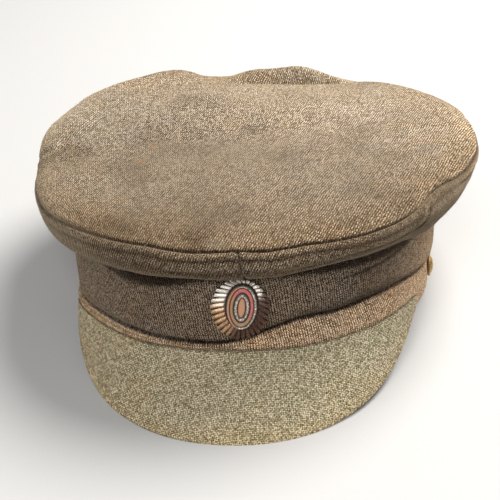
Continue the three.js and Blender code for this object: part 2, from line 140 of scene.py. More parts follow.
# one column of a table at any azimuth, smooth and closed all the way round
def around(rows, column, azimuth):
    at, values = rows["at"], rows[column]
    count = len(at)
    turned = (np.degrees(azimuth) + 180) % 360 - 180
    first = np.searchsorted(at, turned, side="right") - 1
    four = [first + k for k in (-1, 0, 1, 2)]
    a0, a1, a2, a3 = [at[i % count] + 360 * (i // count) for i in four]
    v0, v1, v2, v3 = [values[i % count] for i in four]
    span = a2 - a1
    leave = (v2 - v0) / (a2 - a0) * span
    arrive = (v3 - v1) / (a3 - a1) * span
    s = (turned - a1) / span
    near = v1 * (2 * s**3 - 3 * s**2 + 1) + leave * (s**3 - 2 * s**2 + s)
    return near + v2 * (3 * s**2 - 2 * s**3) + arrive * (s**3 - s**2)


# repeatable soft noise between -1 and 1, with features of one size
def softNoise(x, y, size, seed):
    cells = 64
    lattice = np.random.default_rng(seed).uniform(-1, 1, (cells, cells))
    u, v = x / size, y / size
    i, j = np.floor(u).astype(int), np.floor(v).astype(int)
    fu, fv = smooth(u - i, 0, 1), smooth(v - j, 0, 1)
    a, b, c, d = [lattice[(i + k) % cells, (j + m) % cells] for m in (0, 1) for k in (0, 1)]
    return (a * (1 - fu) + b * fu) * (1 - fv) + (c * (1 - fu) + d * fu) * fv


# soft noises added up, each by its height, size and seed
def ripples(x, y, rows):
    return sum(height * softNoise(x, y, size, seed) for height, size, seed in rows)


def blotches(x, y, rows):
    return np.clip(ripples(x, y, rows), 0, 1)


def reseeded(rows, change):
    return [(height, size, seed + change) for height, size, seed in rows]


def stacked(*values):
    return np.stack(np.broadcast_arrays(*values), -1)


def unit(vectors):
    return vectors / np.maximum(np.linalg.norm(vectors, axis=-1, keepdims=True), 1e-9)


def outward(azimuth):
    return stacked(np.sin(azimuth), -np.cos(azimuth), 0)


def upward(length):
    return stacked(0, 0, length)


def ovalRadius(azimuth, halfWidth, halfLength):
    return 1 / np.hypot(np.sin(azimuth) / halfWidth, np.cos(azimuth) / halfLength)


def topPoint(azimuth, share):
    azimuth, share = np.broadcast_arrays(azimuth, share)
    plain = ovalRadius(azimuth, cap["crownHalfWidth"], cap["crownHalfLength"])
    radius = plain + around(crownSeam, "out", azimuth)
    point = outward(azimuth) * (radius * share)[..., None]
    point[..., 1] += cap["crownSetBack"]
    point[..., 2] = (
        around(crownSeam, "height", azimuth) * share**2
        + cap["crownMiddle"] * (1 - share**2)
        + spots(point[..., 0], point[..., 1], topSwells) * (1 - smooth(share, 0.9, 1))
        + cap["crownEdgeRoll"] * (1 - smooth(share, 0.86, 1) ** 2)
    )
    return point


def lowerEdge(azimuth):
    return -cap["sideDroop"] * np.sin(azimuth) ** 2


def bandRim(azimuth):
    radius = ovalRadius(azimuth, cap["bandHalfWidth"], cap["bandHalfLength"])
    height = around(bandTop, "height", azimuth) + lowerEdge(azimuth)
    return outward(azimuth) * radius[..., None] + upward(height)


# the side of the crown: t is 0 at the top seam and 1 where it tucks in over the band
def sidePoint(azimuth, t):
    azimuth, t = np.broadcast_arrays(azimuth, t)
    out = outward(azimuth)
    bulge, bulgeDrop, roll, rollDrop = (around(sideRoll, name, azimuth) for name in list(sideRoll)[1:])
    seamPoint = topPoint(azimuth, 1.0)
    tuck = bandRim(azimuth) + out * cap["gap"] - upward(cap["tuckDrop"])
    high = seamPoint + out * bulge[..., None] - upward(bulgeDrop)
    low = tuck + out * roll[..., None] - upward(rollDrop)
    t = t[..., None]
    return seamPoint * (1 - t) ** 3 + high * 3 * t * (1 - t) ** 2 + low * 3 * t**2 * (1 - t) + tuck * t**3


# the outside of the band at a height above its lower edge, with the fold pressed in
def bandPoint(azimuth, height):
    azimuth, height = np.broadcast_arrays(azimuth, height)
    tall = around(bandTop, "height", azimuth)
    crease, depth, lip = (around(bandFold, name, azimuth) for name in ("height", "depth", "lip"))
    above = height - crease
    below = np.clip(-above / crease, 0, None)
    pressed = -depth * np.exp(-np.maximum(above, 0) / cap["foldFade"])
    strip = (depth + lip) * np.minimum(below / cap["foldShoulder"], 1) ** 0.7 - depth
    shift = np.where(above >= 0, pressed, strip)
    return bandRim(azimuth) + outward(azimuth) * shift[..., None] + upward(height - tall)


def turning(degrees):
    angle = math.radians(degrees)
    return [[math.cos(angle), math.sin(angle)], [-math.sin(angle), math.cos(angle)]]


def moved(points, place):
    return points @ place[:3, :3].T + place[:3, 3]


lean = np.eye(4)
lean[1:3, 1:3] = turning(cap["leanBack"])
lean[:3, 3] = lean[:3, :3] @ [0, -cap["bandHalfLength"], 0] + [0, cap["bandHalfLength"], -cap["settled"]]
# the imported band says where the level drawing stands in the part's own frame
bandColumns = np.radians(np.arange(-180, 180, 360 / 64))
drawnBand = moved(bandPoint(bandColumns[:, None], np.linspace(0, 46, 60)), lean)
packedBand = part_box("band")
frameShift = np.array([packedBand[0][i] / mm - drawnBand[..., i].min() for i in (0, 1)] + [0.0])


def settle(points):
    placed = moved(points, lean) + frameShift
    placed[..., 2] = np.maximum(placed[..., 2], 0)
    return placed


# unit normals of a grid of points whose columns run round and whose rows run down or outwards
def gridNormals(points):
    return unit(np.cross(np.gradient(points, axis=1), np.gradient(points, axis=0)))


# the same for a grid whose last column goes on to its first one, which it may repeat
def ringNormals(points, repeated):
    return gridNormals(np.concatenate([points[-1 - repeated:][:1], points, points[repeated:][:1]]))[1:-1]


# distances along a grid's rows or columns, from its first one
def runLength(points, axis):
    steps = np.linalg.norm(np.diff(points, axis=axis), axis=-1)
    start = np.zeros_like(np.take(steps, [0], axis=axis))
    return np.concatenate([start, np.cumsum(steps, axis=axis)], axis=axis)


def addMesh(name, points, faces, finish):
    points = points.reshape(-1, 3) * mm
    points[:, 2] = np.maximum(points[:, 2], 0)
    mesh = bpy.data.meshes.new(name)
    mesh.from_pydata(points.tolist(), [], faces)
    mesh.polygons.foreach_set("use_smooth", [True] * len(mesh.polygons))
    mesh.materials.append(finish)
    mesh.update()
    piece = bpy.data.objects.new(name, mesh)
    bpy.context.scene.collection.objects.link(piece)
    return piece


def addVectors(piece, name, values):
    layer = piece.data.attributes.new(name, "FLOAT_VECTOR", "POINT")
    layer.data.foreach_set("vector", np.ascontiguousarray(values, np.float32).ravel())


# Faces over a grid of rows in each column. Rows may close on themselves, and so may the columns.
def gridFaces(wide, deep, ringed, looped):
    i = np.arange(wide if ringed else wide - 1)[:, None]
    j = np.arange(deep if looped else deep - 1)[None, :]
    right, below = (i + 1) % wide, (j + 1) % deep
    corners = stacked(i * deep + j, i * deep + below, right * deep + below, right * deep + j)
    return corners.reshape(-1, 4).tolist()


# fans from a ringed grid's first and last rows to two poles, which follow its points
def poleFaces(wide, deep):
    pole, faces = wide * deep, []
    for i in range(wide):
        here, following = i * deep, (i + 1) % wide * deep
        faces += [[pole, here, following], [pole + 1, following + deep - 1, here + deep - 1]]
    return faces


# rows of points that join the two sides of a wall past their last row, bulging by a share of a half round
def roundedEdge(outer, inner, before, bulge, steps=5):
    middle, half = (outer + inner) / 2, (outer - inner) / 2
    ahead = unit(outer - before) * np.linalg.norm(half, axis=-1, keepdims=True) * bulge
    turns = [math.pi * (k + 1) / (steps + 1) for k in range(steps)]
    return np.stack([middle + half * math.cos(a) + ahead * math.sin(a) for a in turns], 1)


# A cloth wall as one closed body: its outer and inner grids are joined by rounded edges. Without a head
# it is ringed, and each grid closes on a pole.
def clothWall(name, finish, outer, inner, place, marks, foot, head=None):
    poled = head is None
    wide, deep = outer.shape[:2]
    footRows = roundedEdge(outer[:, -1], inner[:, -1], outer[:, -2], foot)
    rows = [outer, footRows, inner[:, ::-1]]
    source = [np.arange(deep), np.full(footRows.shape[1], deep - 1), np.arange(deep)[::-1]]
    if not poled:
        rows.append(roundedEdge(inner[:, 0], outer[:, 0], inner[:, 1], head))
        source.append(np.zeros(rows[-1].shape[1], int))
    points = np.concatenate(rows, 1)
    source = np.concatenate(source)
    total = points.shape[1]
    faces = gridFaces(wide, total, poled, not poled)
    points = points.reshape(-1, 3)
    if poled:
        points = np.concatenate([points, outer[:, :1].mean(0), inner[:, :1].mean(0)])
        faces += poleFaces(wide, total)
    else:
        last, back = (wide - 1) * total, 2 * deep + footRows.shape[1] - 1
        for j in range(deep - 1):
            faces.append([j, back - j, back - j - 1, j + 1])
            faces.append([last + j, last + j + 1, last + back - j - 1, last + back - j])
    piece = addMesh(name, points, faces, finish)
    for layer, values in {"clothPlace": place, "clothMarks": np.clip(marks, 0, 1)}.items():
        pole = [values[:, :1].mean(0)] * 2 if poled else []
        addVectors(piece, layer, np.concatenate([values[:, source].reshape(-1, 3), *pole]))
    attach(piece, "root")
    return piece


# an operator on signals and its reflected form, each adding a Math node
def mathsPair(operation):
    def forward(self, other):
        return self.finish.node("ShaderNodeMath", {"operation": operation}, {0: self, 1: other})

    def reflected(self, other):
        return self.finish.node("ShaderNodeMath", {"operation": operation}, {0: other, 1: self})

    return forward, reflected


class Signal:
    __add__, __radd__ = mathsPair("ADD")
    __sub__, __rsub__ = mathsPair("SUBTRACT")
    __mul__, __rmul__ = mathsPair("MULTIPLY")
    __truediv__, __rtruediv__ = mathsPair("DIVIDE")
    __pow__, __rpow__ = mathsPair("POWER")

    def __init__(self, finish, socket):
        self.finish = finish
        self.socket = socket


class Finish:
    def __init__(self, name):
        self.material = bpy.data.materials.new(name)
        self.material.use_nodes = True
        self.tree = self.material.node_tree
        self.tree.nodes.clear()

    def node(self, kind, settings=None, inputs=None, output=0):
        made = self.tree.nodes.new(kind)
        for key, value in (settings or {}).items():
            if key == "stops":
                while len(made.color_ramp.elements) < len(value):
                    made.color_ramp.elements.new(1)
                for stop, (position, color) in zip(made.color_ramp.elements, value):
                    stop.position = position
                    stop.color = (*color, 1)
            else:
                setattr(made, key, value)
        for key, value in (inputs or {}).items():
            if isinstance(value, Signal):
                self.tree.links.new(value.socket, made.inputs[key])
            else:
                made.inputs[key].default_value = value
        return None if output is None else Signal(self, made.outputs[output])

    def attribute(self, name):
        return self.node("ShaderNodeAttribute", {"attribute_name": name}, None, "Vector")

    def split(self, vector):
        return [self.node("ShaderNodeSeparateXYZ", None, {0: vector}, i) for i in range(3)]

    def join(self, x, y, z=0.0):
        return self.node("ShaderNodeCombineXYZ", None, {0: x, 1: y, 2: z})

    def vectors(self, operation, first, second):
        return self.node("ShaderNodeVectorMath", {"operation": operation}, {0: first, 1: second}, "Value")

    def along(self, vector, direction):
        return self.vectors("DOT_PRODUCT", vector, direction)

    def whole(self, value):
        return self.node("ShaderNodeMath", {"operation": "FLOOR"}, {0: value})

    # 1 for the odd whole numbers and 0 for the even ones
    def odd(self, value):
        return value - self.whole(value / 2) * 2

    # 1 in the middle between two whole numbers, round like a yarn, and 0 at them
    def rounded(self, value):
        return 1 - ((value - self.whole(value)) * 2 - 1) ** 2

    def ramp(self, value, *stops):
        return self.node("ShaderNodeValToRGB", {"stops": stops}, {0: value})

    def between(self, value, low, high, start=0.0, end=1.0):
        settings = {"interpolation_type": "SMOOTHSTEP"}
        return self.node("ShaderNodeMapRange", settings, {0: value, 1: low, 2: high, 3: start, 4: end})

    def noise(self, vector, scale, detail=2.0, roughness=0.5):
        inputs = {"Vector": vector, "Scale": scale, "Detail": detail, "Roughness": roughness}
        return self.node("ShaderNodeTexNoise", None, inputs)

    def chance(self, vector):
        return self.node("ShaderNodeTexWhiteNoise", {"noise_dimensions": "3D"}, {"Vector": vector})

    def mix(self, factor, first, second, how="MIX"):
        settings = {"data_type": "RGBA", "blend_type": how}
        first, second = [v if isinstance(v, Signal) else (*v, 1) for v in (first, second)]
        return self.node("ShaderNodeMix", settings, {0: factor, 6: first, 7: second}, 2)

    def bump(self, height, distance):
        return self.node("ShaderNodeBump", None, {"Strength": 1.0, "Distance": distance, "Height": height})

    def surface(self, inputs):
        shader = self.node("ShaderNodeBsdfPrincipled", None, inputs)
        self.node("ShaderNodeOutputMaterial", {"is_active_output": True}, {"Surface": shader}, None)
        return self.material


# five stops from dark to light, a step apart on the display, about a middle shade
def shades(middle, step):
    def linear(c):
        return max(c / 12.92 if c < 0.04 else ((c + 0.055) / 1.055) ** 2.4, 0.002)

    return [((k + 2) / 4, tuple(linear((m + k * step) / 255) for m in middle)) for k in (-2, -1, 0, 1, 2)]


# Diagonal twill, grain by grain, flattened where hands, brushing and sun have rubbed it.
def twill(f, s, place, wearAndHighlight, fadedAndLit):
    turn = math.radians(s["waleTurn"])
    drift = f.noise(place, 0.12, 1.0)
    across = f.along(place, (-math.sin(turn), math.cos(turn), 0)) + drift * s["drift"]
    down = f.along(place, (math.cos(turn), math.sin(turn), 0))
    wale = across / s["pitch"]
    waleNumber = f.whole(wale)
    yarn = down / s["yarnLength"] + waleNumber * 0.5
    relief = f.rounded(wale) * (0.45 + f.rounded(yarn) * 0.55)
    strand = f.whole(across / s["strand"])
    knot = f.whole(down / s["grainLength"] + f.chance(f.join(strand, 0, 3.0)) * s["slip"])
    grain = f.chance(f.join(strand, knot))
    yarnTone = f.chance(f.join(waleNumber, f.whole(yarn), 5.0))
    tone = (grain - 0.5) * s["grain"] + (yarnTone - 0.5) * s["yarn"] + (relief - 0.55) * s["weave"]
    tone = tone + (f.odd(strand + knot) - 0.5) * s["raised"] + (f.odd(strand) - 0.5) * s["ridge"]
    rubbed = fadedAndLit * s["fadeFlat"] + wearAndHighlight * s["wornFlat"]
    for direction, low, high, share in s["rubbed"]:
        rubbed = rubbed + f.between(f.along(place, direction), low, high, 0, share)
    rubbed = f.between(rubbed, 0, s["flattest"], 0, s["flattest"])
    return 0.5 + tone * (1 - rubbed), relief * 0.7 + grain * 0.3, across, down


# Milled wool, whose weave shows faintly both ways through a short felted nap.
def melton(f, s, place, wearAndHighlight, fadedAndLit):
    drift = f.noise(place, 0.15, 1.0) * s["drift"]
    one = (f.along(place, (0.77, 0.64, 0)) + drift) / s["pitch"]
    other = (f.along(place, (-0.64, 0.77, 0)) - drift) / s["pitch"]
    relief = f.rounded(one) * f.rounded(other)
    warp, weft = f.whole(one * 2), f.whole(other * 2)
    grain = f.chance(f.join(warp, weft))
    knotTone = f.chance(f.join(f.whole(one), f.whole(other), 3.0))
    tone = 0.5 + (grain - 0.5) * s["grain"] + (knotTone - 0.5) * s["knots"] + (relief - 0.45) * s["weave"]
    tone = tone + (f.odd(warp + weft) - 0.5) * s["raised"]
    return tone, relief * 0.5 + grain * 0.4, one, other


# Wool of either weave. Places are millimetres on the cloth, and marks are three shares:
# wear with painted highlight, soil with painted shade, and fading with painted light.
def woolFinish(name, weave, s):
    f = Finish(name)
    place = f.attribute("clothPlace")
    wearAndHighlight, soiledAndShaded, fadedAndLit = f.split(f.attribute("clothMarks"))
    tone, height, across, down = weave(f, s, place, wearAndHighlight, fadedAndLit)
    color = f.ramp(tone, *shades(s["middle"], s["step"]))
    cloud = f.noise(place, 0.05, 3.0, 0.6)
    color = f.mix(f.between(cloud, *s["cloudEnds"]) * s["cloudShare"], color, s["cloudTint"], "MULTIPLY")
    warmSize, warmSeed = s["warmPlace"]
    warm = f.noise(f.join(across * warmSize, down * warmSize, warmSeed), 1.0, 2.0)
    color = f.mix(f.between(warm, *s["warmEnds"]) * s["warmShare"], color, s["warmTint"], "MULTIPLY")
    # these tints paint light and shade as well: lighter in painted highlight, darker in painted shade
    color = f.mix(fadedAndLit * s["fadeShare"], color, s["fadeTint"], "MULTIPLY")
    color = f.mix(wearAndHighlight * s["wearShare"], color, s["wearTint"], "MULTIPLY")
    color = f.mix(soiledAndShaded, color, s["soilTint"], "MULTIPLY")
    for x, y, size, strength, stain in s["stains"]:
        ragged = (f.noise(place, 1.1, 2.0, 0.6) - 0.5) * 0.9
        edge = f.vectors("DISTANCE", place, (x, y, 0)) + ragged * size
        color = f.mix(f.between(edge, size * 0.35, size, strength, 0.0), color, stain)
    return f.surface({
        "Base Color": color,
        "Normal": f.bump(height, s["bump"]),
        "Roughness": 0.95,
        "Specular IOR Level": 0.12,
        "Sheen Weight": s["sheen"],
        "Sheen Roughness": 0.45,
        "Sheen Tint": (*s["sheenTint"], 1),
    })


rubbedFront = (((0, 1, 0), -30, -90, 0.5), ((0, 1, 0), -200, -250, -0.15))
crownWool = {
    "middle": (126, 105, 79), "step": 64,
    "waleTurn": 68, "drift": 1.6, "pitch": 1.2, "yarnLength": 1.3,
    "strand": 0.6, "grainLength": 1.0, "slip": 0.3,
    "grain": 0.85, "raised": 0.5, "ridge": 0.5, "yarn": 0.03, "weave": 0.5,
    # direction on the cloth, start and end along it, and share
    "rubbed": (
        *rubbedFront, ((0, 1, 0), 25, 75, 0.2), ((0, 1, 0), 92, 110, 0.3), ((1, 0, 0), 60, 100, 0.15),
    ),
    "wornFlat": 0.08, "fadeFlat": 0.5, "flattest": 0.55,
    "cloudTint": (0.90, 0.93, 0.99), "cloudShare": 0.9, "cloudEnds": (0.45, 0.72),
    "warmTint": (1.08, 0.99, 0.86), "warmShare": 0.5, "warmEnds": (0.45, 0.75), "warmPlace": (0.07, 7.0),
    # the fade and wear tints also paint highlight, and the soil tint also paints shade
    "fadeTint": (1.52, 1.74, 2.02), "fadeShare": 1.0,
    "wearTint": (1.25, 1.07, 0.80), "wearShare": 0.6,
    "soilTint": (0.20, 0.17, 0.15),
    # x, y, size, strength and colour
    "stains": (
        (-52, 5, 3.4, 0.5, (0.32, 0.15, 0.06)), (-57, -12, 4, 0.45, (0.30, 0.14, 0.06)),
        (47, 8.5, 1.0, 0.9, (0.03, 0.02, 0.02)), (36, -19.5, 1.0, 0.85, (0.03, 0.022, 0.02)),
        (-3, -31, 1.3, 0.7, (0.05, 0.04, 0.035)), (94, -11, 9, 0.3, (0.14, 0.125, 0.115)),
        (-10, -96, 5, 0.2, (0.32, 0.28, 0.22)),
    ),
    "bump": 0.0004, "sheen": 0.6, "sheenTint": (0.85, 0.69, 0.47),
}
bandWool = dict(
    crownWool, middle=(97, 80, 62), step=36, waleTurn=98, grainLength=0.6,
    rubbed=rubbedFront, wornFlat=0.4,
    # the strong wear tint paints highlight on the strip and the right side, as well as wear
    cloudTint=(0.84, 0.86, 0.9), cloudShare=0.5, wearTint=(4.1, 3.9, 3.55), wearShare=0.85,
    soilTint=(0.11, 0.09, 0.08), stains=(), sheen=0.15,
)
peakWool = {
    "middle": (169, 156, 126), "step": 42,
    "drift": 1.5, "pitch": 1.2, "grain": 0.68, "raised": 0.42, "knots": 0.05, "weave": 0.25,
    "cloudTint": (0.90, 0.95, 0.93), "cloudShare": 0.7, "cloudEnds": (0.42, 0.7),
    "warmTint": (1.08, 1.0, 0.87), "warmShare": 0.5, "warmEnds": (0.5, 0.75), "warmPlace": (0.06, 9.0),
    "fadeTint": (1.2, 1.2, 1.25), "fadeShare": 0.5,
    "wearTint": (1.08, 0.97, 0.80), "wearShare": 0.7,
    "soilTint": (0.30, 0.26, 0.22), "stains": (),
    "bump": 0.0004, "sheen": 0.2, "sheenTint": (0.80, 0.76, 0.62),
}
crownCloth = woolFinish("crownTwill", twill, crownWool)
bandCloth = woolFinish("bandTwill", twill, bandWool)
peakCloth = woolFinish("peakMelton", melton, peakWool)
print("wool made")

# The seam round the crown: a narrow groove between two soft rolls, its allowance turned down inside.
seam = {
    "topRows": 260, "sideRows": 100,
    "cornerReach": 9,
    "cornerTaps": ((-1.5, 0.13), (-0.75, 0.23), (0, 0.28), (0.75, 0.23), (1.5, 0.13)),
    "grooveDepth": 1.0, "grooveWidth": 0.5,
    "flatAt": (50.5, 3.6), "flatShare": 0.9,  # in the pucker at the right
    "hidden": (62, 84, 120, 150), "hiddenShare": 0.7,  # round the left crease
    "wander": ((0.3, 9, 5), (0.18, 4, 6)), "wanderReach": 8,
    "slit": 0.12, "slitReach": 2, "soil": 0.7, "soilReach": 0.8,
}


def atDistance(points, run, distance):
    found = [[np.interp(d, r, p[:, k]) for k in range(3)] for p, r, d in zip(points, run, distance)]
    return np.moveaxis(np.array(found), 1, 2)


# the crown's cloth at distances past its plain edge, with the corner there rounded off
def crownSheet(azimuth, distance):
    topRows = seam["topRows"]
    top = topPoint(azimuth[:, None], np.linspace(0, 1, topRows))
    side = sidePoint(azimuth[:, None], np.linspace(0, 1, seam["sideRows"])[1:])
    points = np.concatenate([top, side], 1)
    run = runLength(points, 1)
    run = run - run[:, topRows - 1:topRows]
    reach = np.clip(distance(run[:, :1], run[:, -1:]), run[:, :1], run[:, -1:])
    spread = around(seamLine, "corner", azimuth)[:, None] * bell(reach, seam["cornerReach"])
    taps = [share * atDistance(points, run, reach + tap * spread) for tap, share in seam["cornerTaps"]]
    return sum(taps), reach


# unit normals along the seam, shared by the two cloths that meet there
def seamNormals(azimuth):
    shift = around(seamLine, "shift", azimuth)[:, None]
    near, _ = crownSheet(azimuth, lambda low, high: shift + np.array([[-2.0, 0, 2.0]]))
    return gridNormals(near)[:, 1]


def grooveShare(azimuth):
    degrees = np.degrees(azimuth)
    at, reach = seam["flatAt"]
    flat = seam["flatShare"] * bell(degrees - at, reach)
    return (1 - flat) * (1 - seam["hiddenShare"] * within(-degrees, *seam["hidden"]))


def seamSoil(fromSeam, azimuth):
    return seam["soil"] * bell(fromSeam, seam["soilReach"]) * grooveShare(azimuth)


# The two faces of the crown's cloth beside that seam, which share its normals and stand off a slit.
def seamedFaces(base, normal, shared, lift, folds, fromSeam, azimuth, away):
    normal = normal + (shared - normal) * bell(fromSeam, 1.5)[..., None]
    wander = ripples(azimuth * 100, 0, seam["wander"])
    near = bell(fromSeam, seam["wanderReach"])
    groove = seam["grooveDepth"] * bell(fromSeam, seam["grooveWidth"]) * grooveShare(azimuth)
    pulled = away * (seam["slit"] * bell(fromSeam, seam["slitReach"]))[..., None]
    outer = base + normal * (lift + folds + wander * near - groove)[..., None] - pulled
    inner = base + normal * ((wander + folds) * near - cap["crownWall"])[..., None] - pulled
    return settle(outer), settle(inner)


# The crease at the left of the top: a lip in front of its line, a drop behind it, and then a bulge.
leftCrease = {
    "line": table(
        "x y",
        (-122, 8), (-114, 9), (-110.5, 6.6), (-107, 5.8), (-104.9, 8.7), (-103.3, 12.3), (-100, 14.9),
        (-95.6, 13.9), (-91, 11.4), (-81, 4.3), (-60, 0),
    ),
    "shown": (84, 101), "edgeReach": 8,
    "lip": 2.0, "lipReach": 9,
    "drop": 0.9, "wallReach": 1.8, "dropReach": 20,
    "bulge": 3.6, "bulgeStart": 9, "bulgeAt": 22,
}
# The pucker beside the right front, where the cloth is drawn up along a line and spokes run out from it.
pucker = {
    "line": ((-7, -3, -2, 4.7, 9), (57, 53.5, 51.5, 49, 47)), "scale": 1.75,
    "shown": (-12, -5, 8, 12), "rolls": ((-2.6, 2.4, 0.9), (0, 1.1, -1.2), (3, 2, 0.5)),
    "x": 93, "y": -49, "spokes": 13, "spokeStart": (2, 8), "spokeLift": ((11, 8, 0.28),),
    "waver": ((0.5, 9, 15),),
}


def pastCrease(x, y):
    return y - np.interp(x, *leftCrease["line"].values())


# Folds that lie across the crown's edge, from their places in plan and past that edge.
def crownFolds(x, y, past, azimuth):
    s = leftCrease
    beyond = pastCrease(x, y)
    behind = np.maximum(beyond, 0)
    shown = smooth(-x, *s["shown"]) * bell(np.maximum(past, 0), s["edgeReach"])
    lip = s["lip"] * np.exp(np.minimum(beyond, 0) / s["lipReach"])
    wall = (s["lip"] + s["drop"]) * np.exp(-behind / s["wallReach"]) - s["drop"]
    bulge = s["bulge"] * smooth(beyond, 0, s["bulgeStart"]) * bell(beyond - s["bulgeAt"], s["bulgeAt"])
    folds = (np.where(beyond < 0, lip, wall * np.exp(-behind / s["dropReach"])) + bulge) * shown
    s = pucker
    aside = (np.degrees(azimuth) - np.interp(past, *s["line"])) * s["scale"]
    folds = folds + within(past, *s["shown"]) * bands(aside, s["rolls"])
    toX, toY = x - s["x"], y - s["y"]
    away = np.hypot(toX, toY)
    spokes = np.cos(np.arctan2(toY, toX) * s["spokes"] + ripples(x, y, s["waver"]))
    return folds + bands(away, s["spokeLift"]) * smooth(away, *s["spokeStart"]) * spokes


crownTop = {
    "columns": 440, "rows": 46, "edgeRows": 34, "edge": 15,
    "ripples": ((0.8, 31, 1), (0.3, 12, 2), (0.1, 5.5, 3)), "tucks": ((0.14, 3.4, 8),),
    "rollLift": 0.4, "rollAt": 2.6, "rollWidth": 1.8,
    "wear": 0.25, "wearIn": ((0, 15, 1), (0, 34, 0.4)), "wearRound": ((-58, 36, 0.75), (80, 30, 0.4)),
    # painted highlight: a lighter, bluer spot behind the left crease where the cloth turns to the light,
    # and the rear right with its hump lighter
    "highlightSpot": ((-102, 35, 31, 25, 1.75),), "rearHighlight": 0.55,
    "fadeBlotches": ((0.14, 22, 11),),
    "blueBlotches": ((1, 15, 13), (0.3, 6, 14)), "blueRound": ((-50, 40, 0.34),), "blueIn": ((26, 18, 1),),
    # the crease share here is painted shade just in front of the left crease; the blotches are soil
    "soilBlotches": ((1, 19, 12),), "soilBlotchShare": 0.3, "creaseShade": ((-5, 5, 0.15),),
    # soil from handling together with painted shade: darker at the front and left, lighter at the rear and
    # right where the light falls
    "handledAndShaded": 0.5, "lessFront": 0.08, "lessRear": 0.006, "moreLeft": 0.0045, "lessRight": 0.0026,
}


def crownTopCloth():
    s = crownTop
    azimuth = np.linspace(-math.pi, math.pi, s["columns"], endpoint=False)
    shared = seamNormals(azimuth)[:, None]
    azimuth = azimuth[:, None]
    shift = around(seamLine, "shift", azimuth)
    far = np.linspace(0.02, 1, s["rows"])
    near = np.linspace(1, 0, s["edgeRows"] + 1)[1:] ** 1.5

    def distance(low, high):
        return np.concatenate([low + (shift - s["edge"] - low) * far, shift - s["edge"] * near], 1)

    base, past = crownSheet(azimuth[:, 0], distance)
    toSeam = shift - past
    x, y = base[..., 0], base[..., 1]
    lift = ripples(x, y, s["ripples"]) * smooth(toSeam, 0, 9)
    lift += s["rollLift"] * bell(toSeam - s["rollAt"], s["rollWidth"]) * grooveShare(azimuth)
    lift += ripples(azimuth * 100, toSeam * 0.4, s["tucks"]) * bell(toSeam - 3, 4)
    folds = crownFolds(x, y, past, azimuth)
    normal = ringNormals(base, 0)
    outer, inner = seamedFaces(base, normal, shared, lift, folds, toSeam, azimuth, outward(azimuth))
    degrees = np.degrees(azimuth)
    beyond = pastCrease(x, y)
    wearAndHighlight = bands(toSeam, s["wearIn"]) * (s["wear"] + bands(degrees, s["wearRound"]))
    # painted highlight behind the left crease and at the rear right; the blotches and bluish patches are
    # fading
    fadedAndLit = np.minimum(spots(x, y, s["highlightSpot"]), 1) * smooth(beyond, 0, 2.5)
    fadedAndLit += blotches(x, y, s["fadeBlotches"]) * smooth(y, -20, 60)
    fadedAndLit += s["rearHighlight"] * smooth(y, 92, 112) * smooth(x, 0, 18)
    blue = bands(degrees, s["blueRound"]) * bands(toSeam, s["blueIn"])
    fadedAndLit += blotches(x, y, s["blueBlotches"]) * blue
    # painted shade with handling soil: darker towards the front and left, lighter towards the rear and
    # right
    handledAndShaded = s["handledAndShaded"] - s["lessFront"] * smooth(-y, 50, 90) - s["lessRear"] * np.maximum(y + 10, 0)
    handledAndShaded -= s["moreLeft"] * np.clip(x, -45, 0)
    handledAndShaded -= s["lessRight"] * np.clip(x, 0, 100) * smooth(y, -60, 20)
    soiledAndShaded = seamSoil(toSeam, azimuth) + s["soilBlotchShare"] * blotches(x, y, s["soilBlotches"]) ** 1.5
    # add that slope of painted shade and handling soil, and painted shade in front of the left crease
    soiledAndShaded += np.clip(handledAndShaded, 0, 0.6) + bands(beyond, s["creaseShade"]) * smooth(-x, 80, 101)
    start = np.hypot(x[:, :1], y[:, :1] - cap["crownSetBack"])
    plan = outward(azimuth) * (start + runLength(base, 1))[..., None] + [0, cap["crownSetBack"], 0]
    marks = stacked(wearAndHighlight, soiledAndShaded, fadedAndLit)
    piece = clothWall("crown_top_cloth", crownCloth, outer, inner, plan, marks, 0.0)
    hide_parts("crown_top")
    return outer


# columns of a sheet of evenly spaced azimuths, picked at any azimuth for each row
def pickColumns(sheet, azimuth):
    at = (azimuth + math.pi) / (2 * math.pi) * (len(sheet) - 1)
    first = np.clip(np.floor(at).astype(int), 0, len(sheet) - 2)
    part = (at - first).reshape(at.shape + (1,) * (sheet.ndim - 2))
    row = np.arange(sheet.shape[1])[None, :]
    return sheet[first, row] * (1 - part) + sheet[first + 1, row] * part


crownSide = {
    "columns": 230, "sheetColumns": 720, "rows": 56,
    "frontTop": 0.2, "frontFoot": 2.4, "halfSeam": 0.09, "bunching": 0.2,
    "ripples": ((0.5, 24, 21), (0.2, 8, 25)),
    "allowance": 4.3, "allowanceLift": 0.55, "allowanceEdge": ((4.8, 0.9, -0.3),),
    "endWidth": 0.7, "endDrop": 1.2, "puff": ((2, 1.4, 0.25),),
    # creases under the roll, at the left front and all along the right front, with painted shade in them
    "leftShown": (-20, -15, -6, -2), "leftCrease": ((8.7, 0.8, 1),), "leftDrop": 0.6,
    "rightShown": (6, 18, 47, 54), "rightCrease": ((10, 20, 30, 40, 46, 52), (8.2, 8.3, 7.2, 8.6, 7, 4.5)),
    "rightDrop": 1.5, "rightLine": 0.8, "creaseWidth": 1.2, "creaseShade": 0.5,
    "wearRow": ((2.4, 1.6, 0.7),), "wearRound": ((80, 30, 0.2),),
    # painted shade: the whole side darker, a line under the allowance's edge, and the roll's lower part
    # and foot darker still; the ends are dark seams
    "soil": 0.3, "endSoil": 0.95, "allowanceShade": ((4.9, 0.9, 0.5),), "footShade": 0.9, "rollShade": 0.12,
    "fadeBlotches": ((0.35, 15, 31),),
    "placeStretch": 1.5, "placeBelow": 300,
}


